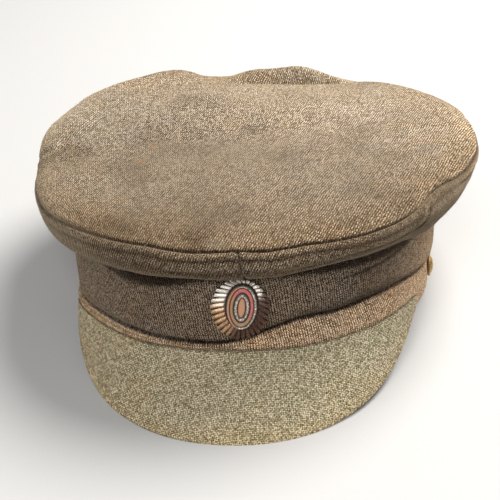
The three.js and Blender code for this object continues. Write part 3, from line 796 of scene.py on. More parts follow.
def crownSideCloth(side):
    s = crownSide
    rows = np.linspace(0, 1, s["rows"])[None, :] ** 1.2
    allRound = np.linspace(-math.pi, math.pi, s["sheetColumns"] + 1)
    shift = around(seamLine, "shift", allRound)[:, None]
    sheet, past = crownSheet(allRound, lambda low, high: shift + (high - shift) * rows)
    share = np.linspace(0, 1, s["columns"])[:, None]
    share = share - s["bunching"] / math.pi * np.sin(2 * math.pi * share)
    front = s["frontTop"] + (s["frontFoot"] - s["frontTop"]) * rows + side * s["halfSeam"]
    degrees = front + (side * (180 - s["halfSeam"]) - front) * share
    degrees = degrees if side > 0 else degrees[::-1]
    azimuth = np.radians(degrees)
    base, past = pickColumns(sheet, azimuth), pickColumns(past, azimuth)
    shared = pickColumns(np.repeat(seamNormals(allRound)[:, None], rows.shape[1], 1), azimuth)
    fromSeam = past - around(seamLine, "shift", azimuth)
    fromFront = runLength(base, 0)
    fromFront = fromFront if side > 0 else fromFront[-1:] - fromFront
    fromBack = fromFront.max(0, keepdims=True) - fromFront
    lift = ripples(fromFront, fromSeam, reseeded(s["ripples"], side))
    lift *= smooth(fromSeam, 0, 6) * smooth(1 - rows, 0, 0.2)
    lift += s["allowanceLift"] * within(fromSeam, 0.3, 1.4, s["allowance"] - 1, s["allowance"] + 0.6)
    lift += bands(fromSeam, s["allowanceEdge"])
    leftLine = within(degrees, *s["leftShown"]) * bands(past, s["leftCrease"])
    rightShown, width = within(degrees, *s["rightShown"]), s["creaseWidth"]
    underRoll = np.interp(degrees, *s["rightCrease"])
    rolled = smooth(past, underRoll - width, underRoll + width)
    lift -= s["leftDrop"] * leftLine + rightShown * s["rightDrop"] * rolled
    lift -= rightShown * s["rightLine"] * bell(past - underRoll, width)
    ends = bell(fromFront, s["endWidth"]) + bell(fromBack, s["endWidth"])
    lift += bands(fromFront, s["puff"]) + bands(fromBack, s["puff"]) - s["endDrop"] * ends
    folds = crownFolds(base[..., 0], base[..., 1], past, azimuth)
    normal = gridNormals(base)
    outer, inner = seamedFaces(base, normal, shared, lift, folds, fromSeam, azimuth, upward(1))
    wearAndHighlight = bands(fromSeam, s["wearRow"]) * (0.5 + 0.5 * softNoise(fromFront, 0, 14, 33))
    wearAndHighlight += bands(degrees, s["wearRound"])
    aside = np.abs(degrees)
    # the seam and the side's ends are dark joints; the rest is painted shade, over the whole side, under
    # the allowance's edge, on the roll's lower part and foot, over the front half and in the creases under
    # the roll
    soiledAndShaded = seamSoil(fromSeam, azimuth) + s["endSoil"] * ends + s["soil"]
    soiledAndShaded += bands(fromSeam, s["allowanceShade"])
    soiledAndShaded += s["footShade"] * smooth(fromSeam, 8, 14) + s["rollShade"] * smooth(fromSeam, 3.5, 7)
    soiledAndShaded += (0.2 + 0.2 * smooth(aside, 10, 30)) * smooth(-aside, -95, -60)
    soiledAndShaded += s["creaseShade"] * (rightShown * smooth(past, underRoll - 0.5, underRoll + 1) + leftLine)
    fadedAndLit = blotches(fromFront, fromSeam, reseeded(s["fadeBlotches"], side))
    place = stacked(side * fromFront, -s["placeStretch"] * fromSeam - s["placeBelow"], 0)
    name = "crown_side_left" if side < 0 else "crown_side_right"
    marks = stacked(wearAndHighlight, soiledAndShaded, fadedAndLit)
    piece = clothWall(name + "_cloth", crownCloth, outer, inner, place, marks, 0.3, 0.0)
    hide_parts(name)
    return outer


band = {
    "columns": 361, "upperRows": 36, "lowerRows": 22, "tuckReach": 9,
    "ripples": ((0.45, 26, 41), (0.22, 9, 42)),
    "creaseRipples": ((0.16, 5, 43),), "creaseWander": ((0.5, 7, 45),),
    "creaseDrop": 0.6, "creaseWidth": 0.9, "footDrop": 0.4, "rearSeam": 0.5, "seamWidth": 0.8,
    # the strip below the crease is stitched along its middle where it is narrow
    "narrow": (4, 7), "middle": 0.45, "stitchRoll": ((1.1, 0.8, 0.3), (0, 0.45, -0.35)),
    # the strip and the right side are lighter by wear together with painted highlight, where they face up
    # and right towards the light
    "stripWearAndLight": ((-50, -15, 0, 20, 45, 65), (1, 0.85, 0.76, 0.72, 0.74, 0.66)),
    "rightWearAndLight": ((78, 26, 0.8),), "wearLeft": ((-85, 25, 0.2),), "narrowWear": ((0.3, 3, 47),),
    # the shade under the crown's roll, and the second line that it draws at the right front
    "shadeEnd": (
        (-80, -50, -38, -28, -19, -11, 0, 12, 38, 60), (6, 8, 13.5, 14, 12, 8.5, 6.5, 6.5, 7, 6.5),
    ),
    "shade": 0.55, "shadeRound": ((-29, 15, 0.5), (40, 24, 0.3)),
    "secondLine": ((25, 38, 45, 55, 62), (12.5, 11, 10, 7.5, 5.5)), "secondShown": (26, 38, 58, 66),
    "secondShade": 0.7, "secondWidth": 0.8,
    # painted shade along the crease, above and below its line and on the band just over it
    "shadeAbove": ((-60, -20, 20), (0.7, 1.1, 1.4)), "shadeBelow": 0.5,
    "creaseShade": ((-65, -40, -10), (0.5, 0.65, 0.95)), "shadeOver": ((2.5, 3, 0.4),),
    "seamSoil": 0.65, "stitchSoil": ((0, 0.5, 0.4),),
    # painted shade on the right front above the strip and across the front
    "rightShade": ((45, 20, 0.5),), "frontShade": ((0, 40, 0.08),),
    "fadeBlotches": ((0.3, 18, 44),),
}


def bandPiece():
    s = band
    azimuth = np.linspace(-math.pi, math.pi, s["columns"])[:, None]
    tall = around(bandTop, "height", azimuth)
    crease, depth = around(bandFold, "height", azimuth), around(bandFold, "depth", azimuth)
    upper = 1 - np.linspace(1, 0, s["upperRows"]) ** 1.5
    lower = np.linspace(0.03, 1, s["lowerRows"])
    height = np.concatenate([tall + (crease - tall) * upper, crease * (1 - lower)], 1)
    drawnIn = around(frontEdges, "tuck", azimuth) * smooth(height, tall - s["tuckReach"], tall - 1)
    base = bandPoint(azimuth, height) - outward(azimuth) * drawnIn[..., None]
    fromTop = runLength(base, 1)
    fromStart = runLength(base, 0)[:, :1]
    toSeam = np.minimum(fromStart, fromStart.max() - fromStart)
    overCrease = height - crease
    folded = smooth(depth, 0, 1)
    lift = ripples(fromStart, fromTop, s["ripples"]) * smooth(fromTop, 0, 5) * smooth(height, 0, 5)
    lift -= s["rearSeam"] * bell(toSeam, s["seamWidth"]) + s["footDrop"] * bell(height, 0.7)
    jagged = ripples(fromStart, 0, s["creaseWander"])
    lift -= s["creaseDrop"] * bell(overCrease - jagged, s["creaseWidth"]) * folded
    lift += ripples(fromStart, height, s["creaseRipples"]) * bell(overCrease, 4)
    peakRise = around(frontEdges, "peakRise", azimuth)
    narrow = 1 - smooth(crease - peakRise, *s["narrow"])
    overMiddle = height - (peakRise + s["middle"] * (crease - peakRise))
    lift += narrow * folded * bands(overMiddle, s["stitchRoll"])
    outer = base + ringNormals(base, 1) * lift[..., None]
    inner = base - outward(azimuth) * cap["bandWall"]
    degrees = np.degrees(azimuth)
    strip = smooth(-overCrease, 0, 1.5)
    uneven = narrow * ripples(fromStart, height, s["narrowWear"])
    # wear with painted highlight on the strip and on the right side
    wearAndHighlight = strip * (np.interp(degrees, *s["stripWearAndLight"]) + uneven)
    wearAndHighlight += bands(degrees, s["rightWearAndLight"]) * (1 - 0.6 * strip) + bands(degrees, s["wearLeft"])
    shadeEnd = np.interp(degrees, *s["shadeEnd"])
    shaded = 1 - smooth(fromTop, shadeEnd - 1, shadeEnd + 1.2)
    soiledAndShaded = (s["shade"] + bands(degrees, s["shadeRound"])) * shaded
    # painted shade in the second line, along the crease, over the right front and across the front; the
    # rear seam and the stitching are soil
    second = bell(fromTop - np.interp(degrees, *s["secondLine"]), s["secondWidth"])
    soiledAndShaded += s["secondShade"] * second * within(degrees, *s["secondShown"])
    creaseWidth = np.where(overCrease > 0, np.interp(degrees, *s["shadeAbove"]), s["shadeBelow"])
    drawn = smooth(depth, 0, 1.5) * np.interp(degrees, *s["creaseShade"])
    overShade = bands(overCrease, s["shadeOver"]) * smooth(depth, 1, 4)
    soiledAndShaded += (bell(overCrease, creaseWidth) + overShade) * drawn
    soiledAndShaded += s["seamSoil"] * bell(toSeam, s["seamWidth"])
    soiledAndShaded += bands(overMiddle, s["stitchSoil"]) * narrow * folded
    soiledAndShaded += bands(degrees, s["rightShade"]) * (1 - strip) + bands(degrees, s["frontShade"])
    fadedAndLit = blotches(fromStart, height, s["fadeBlotches"])
    marks, place = stacked(wearAndHighlight, soiledAndShaded, fadedAndLit), stacked(fromStart, height, 0)
    outer, inner = settle(outer), settle(inner)
    piece = clothWall("band_cloth", bandCloth, outer, inner, place, marks, 1.0, 0.5)
    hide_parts("band")
    return outer


topGrid = crownTopCloth()
leftGrid = crownSideCloth(-1)
rightGrid = crownSideCloth(1)
bandGrid = bandPiece()
print("crown and band made")

peak = {
    "columns": 200, "rows": 46, "left": -75, "right": 65,
    "length": 44.4, "leastReach": 1.6, "cornerPower": 2.4,
    "slope": 52, "spread": 0.14, "leanLeft": 0.05,
    "wall": 3, "overBand": 0.5, "swell": 0.5, "ripples": ((0.12, 13, 51),),
    "edgeDrop": ((0, 0.8, 0.45),), "rootDrop": ((0, 0.8, 0.35),),
    "underRound": ((0, 0.9, 0.4),), "clear": 0.2,
    "tongue": 7, "tongueWall": 1.2, "tongueFoot": 2.2,
    "wearIn": ((0, 5, 0.8), (0, 14, 0.25)), "wearRound": ((-60, 25, 0.5),),
    # painted shade where the peak meets the band and on its right, and painted light on its left; the left
    # is also a little soiled
    "rootShade": ((0, 0.6, 0.8),), "soilRound": ((-55, 20, 0.1),), "rightShade": 0.2,
    "fadeBlotches": ((0.25, 16, 52),), "leftLight": 0.6,
    "placeTurn": 0.8, "placeWide": 118,
}


def peakRoot(azimuth):
    return bandPoint(azimuth, 0.0) + outward(azimuth) * cap["gap"] - upward(1.5 * cap["gap"])


def peakPiece():
    s = peak
    place = np.linspace(-1, 1, s["columns"])
    azimuth = np.radians((s["right"] + s["left"]) / 2 + (s["right"] - s["left"]) / 2 * place)
    root = peakRoot(azimuth)
    along = unit(peakRoot(azimuth + 0.01) - peakRoot(azimuth - 0.01))
    slope = math.radians(s["slope"])
    toSide = s["spread"] * np.sin(azimuth) - s["leanLeft"]
    ahead = unit(stacked(toSide, -math.cos(slope), -math.sin(slope)))
    square = unit(np.cross(ahead, along))[:, None]
    reach = np.maximum(s["length"] * (1 - np.abs(place) ** s["cornerPower"]), s["leastReach"])[:, None]
    rim = root + ahead * reach
    azimuth = azimuth[:, None]
    out = outward(azimuth)
    # the cloth starts up on the band, and runs from there to the rim
    start = bandPoint(azimuth, around(frontEdges, "peakRise", azimuth))
    start = start + out * (cap["gap"] + s["overBand"])
    share = np.linspace(0, 1, s["rows"])[None, :] ** 0.9
    blade = start + (rim[:, None] - start) * share[..., None]
    run = runLength(blade, 1)
    toRim = run[:, -1:] - run
    lift = s["swell"] * np.sin(math.pi * share) * smooth(reach, 5, 30)
    lift += ripples(azimuth * 95, run, s["ripples"])
    lift -= bands(toRim, s["edgeDrop"]) + bands(run, s["rootDrop"])
    outer = blade + square * lift[..., None]
    under = blade - square * (s["wall"] - bands(toRim, s["underRound"]))[..., None]
    # under the cloth, the blade keeps clear of the band that it lies on
    low = lowerEdge(azimuth)
    height = np.clip(under[..., 2] - low, 0, 46)
    face = (bandPoint(azimuth, height) * out).sum(-1)
    push = np.maximum(face + s["clear"] - (under * out).sum(-1), 0)
    under = under + out * np.where(under[..., 2] > low - 0.4, push, 0)[..., None]
    heights = np.linspace(0, s["tongue"] + 2 * cap["bandWall"], 12)
    hollow = (bandPoint(azimuth, heights) * out).sum(-1).min(1)[:, None]
    inside = hollow - 1.06 * cap["bandWall"] - 2 * cap["gap"]
    foot, top = low - 3 * cap["gap"], low + s["tongue"]
    back = inside - s["tongueWall"]
    corners = ((back, foot - s["tongueFoot"]), (back, top), (inside, top), (inside, foot))
    tongue = np.stack([out[:, 0] * depth + upward(height[:, 0]) for depth, height in corners], 1)
    degrees = np.degrees(azimuth)
    wearAndHighlight = bands(toRim, s["wearIn"]) + bands(degrees, s["wearRound"])
    # painted shade at the root and on the right, and painted light on the left
    soiledAndShaded = bands(run, s["rootShade"]) + bands(degrees, s["soilRound"])
    soiledAndShaded += s["rightShade"] * smooth(degrees, 30, 60)
    fadedAndLit = blotches(degrees * 1.7, run, s["fadeBlotches"]) + s["leftLight"] * smooth(-degrees, 30, 60)
    flat = stacked(np.sin(s["placeTurn"] * azimuth) * s["placeWide"], -run, 0)
    outer = settle(outer)
    piece = peakBody(outer, settle(under), settle(tongue), flat, stacked(wearAndHighlight, soiledAndShaded, fadedAndLit))
    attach(piece, "root")
    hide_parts("peak")
    return outer


# The peak as one closed body: the cloth to the rim, back underneath, and up the tongue in the band.
def peakBody(outer, under, tongue, flat, marks):
    rimEdge = roundedEdge(outer[:, -1], under[:, -1], outer[:, -2], 1.0)
    points = np.concatenate([outer, rimEdge, under[:, ::-1], tongue[:, ::-1]], 1)
    wide, total = points.shape[:2]
    rows = np.arange(outer.shape[1])
    source = np.concatenate([rows, np.full(rimEdge.shape[1], rows[-1]), rows[::-1]])
    tongueFlat = flat[:, :1] + upward((2, 11, 13, 20))[:, [0, 2, 1]]
    faces = gridFaces(wide, total, False, True)
    faces += [list(range(total))[::-1], list(range((wide - 1) * total, wide * total))]
    piece = addMesh("peak_cloth", points, faces, peakCloth)
    addVectors(piece, "clothPlace", np.concatenate([flat[:, source], tongueFlat], 1))
    addVectors(piece, "clothMarks", np.clip(np.concatenate([marks[:, source], 0 * tongue], 1), 0, 1))
    return piece


peakGrid = peakPiece()
print("peak made")

# Fibres that stand off a cloth, each a bent sliver of three triangles.
nap = {
    "width": 0.05, "middle": (0.5, 0.7), "tip": 0.85, "rootDrop": 0.1, "floorGap": 0.05,
    "brown": (
        (0.0, (0.10, 0.065, 0.04)), (0.4, (0.27, 0.20, 0.13)), (0.75, (0.47, 0.37, 0.25)),
        (1.0, (0.78, 0.70, 0.56)),
    ),
    "olive": (
        (0.0, (0.13, 0.11, 0.06)), (0.4, (0.29, 0.26, 0.16)), (0.75, (0.48, 0.44, 0.30)),
        (1.0, (0.78, 0.75, 0.60)),
    ),
}


def napFinish(name, tones):
    f = Finish(name)
    color = f.ramp(f.split(f.attribute("clothPlace"))[0], *tones)
    plain = {"Roughness": 0.8, "Specular IOR Level": 0.2, "Sheen Weight": 0.1}
    return f.surface({"Base Color": color, **plain})


def napPiece(name, grids, finish, fibres, size, steep, seed):
    rng = np.random.default_rng(seed)
    points, tones = [], []
    squares = [np.cross(np.diff(g, axis=0)[:, :-1], np.diff(g, axis=1)[:-1]) for g in grids]
    areas = [np.linalg.norm(square, axis=-1) for square in squares]
    total = sum(a.sum() for a in areas)
    for grid, area in zip(grids, areas):
        count = int(fibres * area.sum() / total)
        cell = rng.choice(area.size, count, p=(area / area.sum()).ravel())
        i, j = np.unravel_index(cell, area.shape)
        u, v = rng.random((2, count, 1))
        near = grid[i, j] * (1 - u) + grid[i + 1, j] * u
        far = grid[i, j + 1] * (1 - u) + grid[i + 1, j + 1] * u
        base = near * (1 - v) + far * v
        normal = gridNormals(grid)[i, j]
        side = unit(grid[i + 1, j] - grid[i, j])
        turn = rng.uniform(0, 2 * math.pi, (count, 1))
        ahead = side * np.cos(turn) + np.cross(normal, side) * np.sin(turn)
        width = np.cross(normal, ahead) * nap["width"] * rng.uniform(0.6, 1.3, (count, 1)) / 2
        length = size * rng.lognormal(0, 0.4, (count, 1))
        rise = normal * length * steep * rng.uniform(0.1, 1.0, (count, 1))
        middle = base + ahead * length * nap["middle"][0] + rise * nap["middle"][1]
        tip = base + ahead * length * nap["tip"] + rise * rng.uniform(0.2, 1.2, (count, 1))
        root = base - normal * nap["rootDrop"]
        points.append(np.stack([root - width, root + width, middle + width, middle - width, tip], 1))
        tones.append(np.repeat(rng.random(count), 5))
    points = np.concatenate(points)
    points[..., 2] = np.maximum(points[..., 2], nap["floorGap"])
    first = np.arange(len(points))[:, None] * 5
    faces = np.concatenate([first + [0, 1, 2], first + [0, 2, 3], first + [3, 2, 4]], 0).tolist()
    piece = addMesh(name, points, faces, finish)
    addVectors(piece, "clothPlace", stacked(*[np.concatenate(tones)] * 3))
    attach(piece, "root")


brownNap = napFinish("brownNap", nap["brown"])
oliveNap = napFinish("oliveNap", nap["olive"])
napPiece("crown_nap", [topGrid, leftGrid, rightGrid], brownNap, 40000, 0.85, 0.8, 71)
napPiece("band_nap", [bandGrid], brownNap, 14000, 0.75, 0.8, 72)
napPiece("peak_nap", [peakGrid], oliveNap, 15000, 0.7, 0.7, 73)
print("nap made")


# Trim stands square to the band: +Z out of the cloth and +Y up, leaning back with the cap.
def trimPlace(azimuth, height, turn, lift, aside=(0, 0)):
    azimuth = math.radians(azimuth)
    out = outward(azimuth)
    seat, roll = np.eye(4), np.eye(4)
    seat[:3, :3] = np.stack([np.cross([0, 0, 1], out), [0, 0, 1], out], 1)
    seat[:3, 3] = bandPoint(azimuth, height)
    roll[:2, :2] = turning(turn)
    roll[2, 3] = lift
    placed = lean @ seat @ roll
    placed[:3, 3] += frameShift + placed[:3, :2] @ np.array(aside)
    return placed


# A plate turned about its own axis: rings of points from the middle to the rim and on round to the back.
def reliefPiece(name, grid, front, back, finish, notes, placed):
    points = np.concatenate([grid.reshape(-1, 3), [front, back]])
    faces = gridFaces(*grid.shape[:2], True, False) + poleFaces(*grid.shape[:2])
    piece = addMesh(name, moved(points, placed), faces, finish)
    addVectors(piece, "trimPlace", np.concatenate([notes.reshape(-1, 3), [notes[0, 0], notes[0, -1]]]))
    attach(piece, "root")
    return piece


def turnAngles(steps):
    return np.linspace(0, 2 * math.pi, steps, endpoint=False)[:, None]


def oval(angle, halfWidth, halfHeight, lift):
    return stacked(halfWidth * np.cos(angle), halfHeight * np.sin(angle), lift)


cockade = {
    "width": 27.2, "height": 31.4, "overlap": 0.3, "turn": 7, "centreHeight": 22,
    "rays": 32, "perRay": 16, "plate": 0.9, "rimThickness": 0.35, "base": 0.7,
    "rayLift": 1.0, "notch": 0.42, "notchStart": 0.66, "tipRound": 0.05, "seed": 81,
    "uneven": (0.06, 0.12, 0.15),  # of the tips, the crests and the lifts
    "plateAside": (-0.6, 0.0), "bossAside": (0.2, 1.8),
    "bossSteps": 120, "bossRows": 110, "bossRim": 0.2,
}
# The boss from its middle to its rim: half its width and height, and its height off the plate.
bossProfile = table(
    "halfWidth halfHeight lift",
    (0.0, 0.0, 2.4), (0.6, 1.9, 2.38), (1.1, 3.5, 2.25), (1.45, 4.5, 2.0), (1.62, 4.9, 1.6),
    (1.8, 5.12, 1.3), (2.0, 5.35, 1.35), (2.2, 5.6, 1.8), (2.5, 5.95, 2.15), (2.8, 6.3, 2.25),
    (3.1, 6.65, 2.15), (3.4, 7.0, 1.8), (3.6, 7.25, 1.3), (3.85, 7.6, 1.15), (4.1, 8.05, 1.2),
    (4.3, 8.35, 1.5), (4.85, 9.15, 1.66), (5.35, 9.9, 1.5), (5.55, 10.15, 1.15), (5.75, 10.35, 1.15),
    (5.95, 10.55, 1.5), (6.3, 10.9, 1.85), (6.65, 11.2, 1.85), (6.95, 11.45, 1.5), (7.15, 11.6, 0.9),
    (7.25, 11.7, 0.4),
)
bossWide, bossTall = bossProfile["halfWidth"][-1], bossProfile["halfHeight"][-1]


# Silvered metal gone to brass with wear: bright on the ridges, dark in the grooves, and rusty and darker
# in painted shade on its right side.
def rayFinish():
    f = Finish("agedRays")
    x, y, ridge = f.split(f.attribute("trimPlace"))
    cloud = f.noise(f.join(x, y), 0.35, 3.0, 0.6)
    scratch = f.noise(f.join(x * 2.2, y * 2.2, 2.0), 1.0, 3.0, 0.75)
    toRight = f.between(x * 0.085 - y * 0.05 + cloud * 0.6, 0.42, 0.9)
    toFoot = f.between(y * -0.05 + cloud * 0.9, 0.15, 0.6)
    silver, brass, copper = (0.88, 0.83, 0.75), (0.66, 0.44, 0.25), (0.42, 0.25, 0.16)
    brown, grime = (0.40, 0.17, 0.08), (0.05, 0.026, 0.018)
    metal = f.mix(toFoot, silver, brass)
    tarnish = f.mix(f.between(cloud + y * 0.015, 0.42, 0.62), copper, metal)
    metal = f.mix(f.between(scratch, 0.43, 0.56), tarnish, metal)
    # the right side is rust and painted shade together
    rustAndShade = f.mix(f.between(scratch, 0.5, 0.66), grime, brown)
    bare = f.between(ridge + scratch * 0.6, 0.38, 0.72)
    return f.surface({
        "Base Color": f.mix(bare, grime, f.mix(toRight, metal, rustAndShade)),
        "Metallic": bare * (1 - toRight * 0.7) * 0.9,
        "Roughness": 0.6 - bare * 0.24,
        "Normal": f.bump(scratch + cloud * 0.5, 0.00015),
    })


def rayPlate():
    s = cockade
    angle = turnAngles(s["rays"] * s["perRay"])
    turnShare = angle * s["rays"] / (2 * math.pi) + 0.5
    rayNumber = np.floor(turnShare).astype(int) % s["rays"]
    across = 2 * (turnShare % 1) - 1
    uneven = np.random.default_rng(s["seed"]).uniform(-1, 1, (3, s["rays"]))[:, rayNumber]
    tipUneven, crest, liftUneven = (share * part for share, part in zip(s["uneven"], uneven))
    reach = np.concatenate([np.linspace(-0.2, 0.08, 5), np.linspace(0.12, 0.96, 22), [1.0]])
    tip = 1 + tipUneven - s["tipRound"] * across**2
    tip = tip - (tip - s["notch"]) * smooth(np.abs(across), s["notchStart"], 1.0)
    share = reach * np.where(reach > 0, tip, 1)
    tent = 1 - np.abs(across - crest) / (1 - np.abs(crest) * np.sign(across - crest) * np.sign(crest))
    ridge = np.clip(tent, 0, 1) ** 0.8 * smooth(reach, 0.0, 0.14) * (1 - 0.6 * smooth(reach, 0.7, 1.0))
    lift = s["base"] + s["rayLift"] * (1 + liftUneven) * ridge
    middle = [*np.subtract(s["bossAside"], s["plateAside"]), 0]
    inner = oval(angle, bossWide + 0.5, bossTall + 0.4, lift) + middle
    outer = oval(angle, s["width"] / 2 + s["overlap"], s["height"] / 2 + s["overlap"], lift)
    top = inner + (outer - inner) * share[..., None]
    rim = top[:, -1:] * [1, 1, 0]
    grid = np.concatenate([top, rim + [0, 0, s["rimThickness"]], rim], 1)
    notes = stacked(grid[..., 0], grid[..., 1], np.pad(ridge, ((0, 0), (0, 2))))
    placed = trimPlace(0, s["centreHeight"], s["turn"], cap["gap"], s["plateAside"])
    front, back = middle + upward(s["base"]), [0, 0, 0]
    piece = reliefPiece("cockade_ray_plate", grid, front, back, rayFinish(), notes, placed)
    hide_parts("cockade_rays")


def bossFinish():
    f = Finish("enamelRings")
    out, x, y = f.split(f.attribute("trimPlace"))
    cloud = f.noise(f.join(x, y), 0.5, 3.0, 0.6)
    chip = f.noise(f.join(x, y, 4.0), 1.6, 3.0, 0.65)
    toRed = f.between(x * 0.09 + y * 0.075 + cloud * 0.35, -0.05, 0.5)
    ringEnamel = f.mix(toRed, (0.42, 0.23, 0.11), (0.64, 0.12, 0.12))
    ringEnamel = f.mix(f.between(chip, 0.48, 0.68) * 0.6, ringEnamel, (0.58, 0.36, 0.27))
    middleEnamel = f.mix(f.between(chip, 0.42, 0.62) * 0.8, (0.66, 0.25, 0.13), (0.42, 0.36, 0.22))
    toLeft = f.between(x * -0.09 + cloud * 0.6, 0.35, 0.75)
    silver = f.mix(f.between(chip + cloud * 0.4, 0.55, 0.8), (0.86, 0.83, 0.75), (0.30, 0.26, 0.20))
    rimMetal = f.mix(toLeft, silver, (0.62, 0.34, 0.22))

    def ring(a, b, c, d):
        return f.between(out, a, b) * f.between(out, c, d, 1.0, 0.0)

    middle = f.between(out, 1.6, 1.75, 1.0, 0.0)
    firstRing, outerRing = ring(2.0, 2.25, 3.35, 3.6), ring(5.8, 6.0, 7.0, 7.15)
    enamelled = ring(4.15, 4.3, 5.35, 5.5)
    color = f.mix(middle, (0.05, 0.04, 0.03), middleEnamel)
    for share, finish in ((enamelled, ringEnamel), (firstRing, silver), (outerRing, rimMetal)):
        color = f.mix(share, color, finish)
    metal = firstRing + outerRing
    return f.surface({
        "Base Color": color,
        "Metallic": metal * 0.8,
        "Roughness": 0.5 - metal * 0.18 + chip * 0.12 - enamelled * 0.14 - middle * 0.14,
        "Normal": f.bump(chip + cloud, 0.00008),
    })


def bossPiece():
    s = cockade
    angle = turnAngles(s["bossSteps"])
    at = np.linspace(0.02, 1, s["bossRows"]) * bossWide
    halfWidths, *others = bossProfile.values()
    halfHeight, lift = [np.interp(at, halfWidths, other) for other in others]
    top = oval(angle, at, halfHeight, lift)
    rim = top[:, -1:] * [1, 1, 0]
    grid = np.concatenate([top, rim + [0, 0, s["bossRim"]], rim], 1)
    notes = stacked(np.append(at, [bossWide] * 2), grid[..., 0], grid[..., 1])
    placed = trimPlace(0, s["centreHeight"], s["turn"], 2 * cap["gap"] + s["plate"], s["bossAside"])
    front, back = [0, 0, bossProfile["lift"][0]], [0, 0, 0]
    piece = reliefPiece("cockade_enamel_boss", grid, front, back, bossFinish(), notes, placed)
    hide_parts("cockade_boss")


rayPlate()
bossPiece()

button = {
    "radius": 6.1, "steps": 144, "rows": 60,
    "beads": 36, "beadLift": 0.22, "beadAt": (0.93, 0.05),
    "petals": 8, "petalLift": 0.16, "petalAt": (0.45, 0.14),
    "profile": table(
        "share lift",
        (0.0, 3.4), (0.2, 3.32), (0.4, 3.0), (0.55, 2.62), (0.62, 2.4), (0.66, 2.5), (0.7, 2.42),
        (0.74, 2.0), (0.8, 1.5), (0.84, 1.35), (0.88, 1.55), (0.93, 1.62), (0.98, 1.4), (1.0, 1.1),
    ),
    # shares of the radius and heights, from the rim round the back and down the shank to its foot
    "shank": ((1, 0.5), (0.86, 0), (0.24, 0), (0.24, -3.1), (0.46, -3.1), (0.46, -3.8)),
    "places": {"side_button_right": (90, 6.4), "side_button_left": (-98, 10)},
}


def brassFinish():
    f = Finish("agedBrass")
    share, x, y = f.split(f.attribute("trimPlace"))
    cloud = f.noise(f.join(x, y), 0.6, 3.0, 0.6)
    pit = f.noise(f.join(x, y, 5.0), 2.4, 3.0, 0.7)
    dull = f.between(cloud + pit * 0.3, 0.5, 0.85)
    color = f.mix(dull, (0.78, 0.53, 0.22), (0.20, 0.12, 0.055))
    groove = f.between(share, 0.73, 0.79) * f.between(share, 0.83, 0.87, 1.0, 0.0)
    return f.surface({
        "Base Color": f.mix(groove * 0.85, color, (0.05, 0.032, 0.02)),
        "Metallic": 0.95 - dull * 0.35,
        "Roughness": 0.3 + dull * 0.28,
        "Normal": f.bump(pit + cloud, 0.0001),
    })


def buttonPiece(node, azimuth, height, finish):
    s = button
    angle = turnAngles(s["steps"])
    share = np.linspace(0.02, 1, s["rows"])[None, :]
    lift = np.interp(share, *s["profile"].values())
    for count, power, raised, (at, width) in (
        (s["beads"], 1, s["beadLift"], s["beadAt"]), (s["petals"], 2, s["petalLift"], s["petalAt"]),
    ):
        lift = lift + raised * np.cos(angle * count) ** power * bell(share - at, width)
    top = oval(angle, s["radius"] * share, s["radius"] * share, lift)
    rim = top[:, -1:] * [1, 1, 0]
    grid = np.concatenate([top, *(rim * part + [0, 0, high] for part, high in s["shank"])], 1)
    notes = stacked(np.append(share, [0.7] * len(s["shank"])), grid[..., 0], grid[..., 1])
    front, back = [0, 0, s["profile"]["lift"][0]], [0, 0, s["shank"][-1][1]]
    placed = trimPlace(azimuth, height, 0, cap["gap"])
    piece = reliefPiece(node + "_brass", grid, front, back, finish, notes, placed)
    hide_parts(node)


agedBrass = brassFinish()
for node, (azimuth, height) in button["places"].items():
    buttonPiece(node, azimuth, height, agedBrass)
print("trim made")

stage = {
    "floorTone": (0.60, 0.595, 0.585), "floorHalf": 4.0,
    "world": (0.72, 0.74, 0.78), "worldStrength": 0.3, "aim": (0, 0, 0.05),
    "overhead": {"at": (0.6, 0.55, 1.2), "size": 0.9, "watts": 32, "tone": (1.0, 0.975, 0.94)},
    "fill": {"at": (-0.25, -1.15, 1.2), "size": 1.0, "watts": 13, "tone": (1.0, 0.985, 0.97)},
}


def floorFinish():
    f = Finish("paleFloor")
    cloud = f.noise(f.node("ShaderNodeTexCoord", None, None, "Object"), 3.0, 3.0)
    tone = stage["floorTone"]
    return f.surface({"Base Color": f.mix(cloud, tone, [c * 1.03 for c in tone]), "Roughness": 0.85})


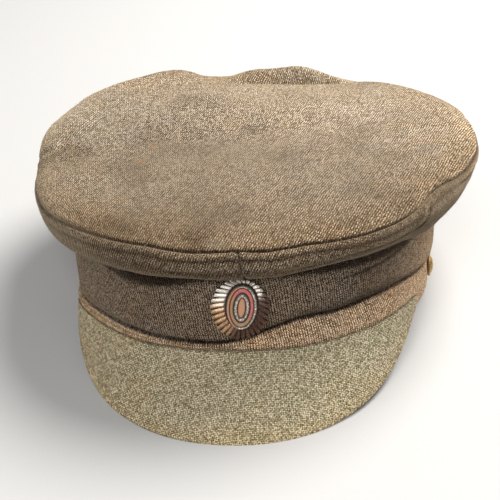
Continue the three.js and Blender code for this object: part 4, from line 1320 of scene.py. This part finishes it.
def addStage():
    half = stage["floorHalf"] / mm
    corners = np.array([[-half, -half, 0], [half, -half, 0], [half, half, 0], [-half, half, 0]])
    floor = addMesh("studio_floor", corners, [[0, 1, 2, 3]], floorFinish())
    world = bpy.data.worlds.new("studioLight")
    world.use_nodes = True
    backdrop = world.node_tree.nodes["Background"]
    backdrop.inputs["Color"].default_value = (*stage["world"], 1)
    backdrop.inputs["Strength"].default_value = stage["worldStrength"]
    bpy.context.scene.world = world
    for name in ("overhead", "fill"):
        s = stage[name]
        lamp = bpy.data.lights.new(name, "AREA")
        lamp.shape = "DISK"
        lamp.size = s["size"]
        lamp.energy = s["watts"]
        lamp.color = s["tone"]
        holder = bpy.data.objects.new(name, lamp)
        bpy.context.scene.collection.objects.link(holder)
        holder.location = s["at"]
        holder.rotation_mode = "QUATERNION"
        holder.rotation_quaternion = (Vector(stage["aim"]) - holder.location).to_track_quat("-Z", "Y")
    bpy.context.scene.view_settings.view_transform = "Standard"


view = {
    "azimuth": 5.2, "elevation": 34.0, "roll": -3.6, "distance": 0.5,
    "target": (0.002711, -0.077482, 0.0727),
    "sensor": 36, "focal": 1057.3 / 500 * 36,
}


def addCamera():
    azimuth, elevation, roll = (math.radians(view[key]) for key in ("azimuth", "elevation", "roll"))
    level = math.cos(elevation)
    back = Vector((math.sin(azimuth) * level, -math.cos(azimuth) * level, math.sin(elevation)))
    right = Vector((math.cos(azimuth), math.sin(azimuth), 0))
    up = back.cross(right)
    turnedRight = right * math.cos(roll) + up * math.sin(roll)
    turnedUp = up * math.cos(roll) - right * math.sin(roll)
    lens = bpy.data.cameras.new("view")
    lens.lens = view["focal"]
    lens.sensor_width = view["sensor"]
    lens.clip_start = 0.01
    camera = bpy.data.objects.new("view", lens)
    bpy.context.scene.collection.objects.link(camera)
    place = Vector(view["target"]) + back * view["distance"]
    axes = Matrix((turnedRight, turnedUp, back)).transposed().to_4x4()
    camera.matrix_world = Matrix.Translation(place) @ axes
    bpy.context.scene.camera = camera


addStage()
addCamera()
print("stage made")
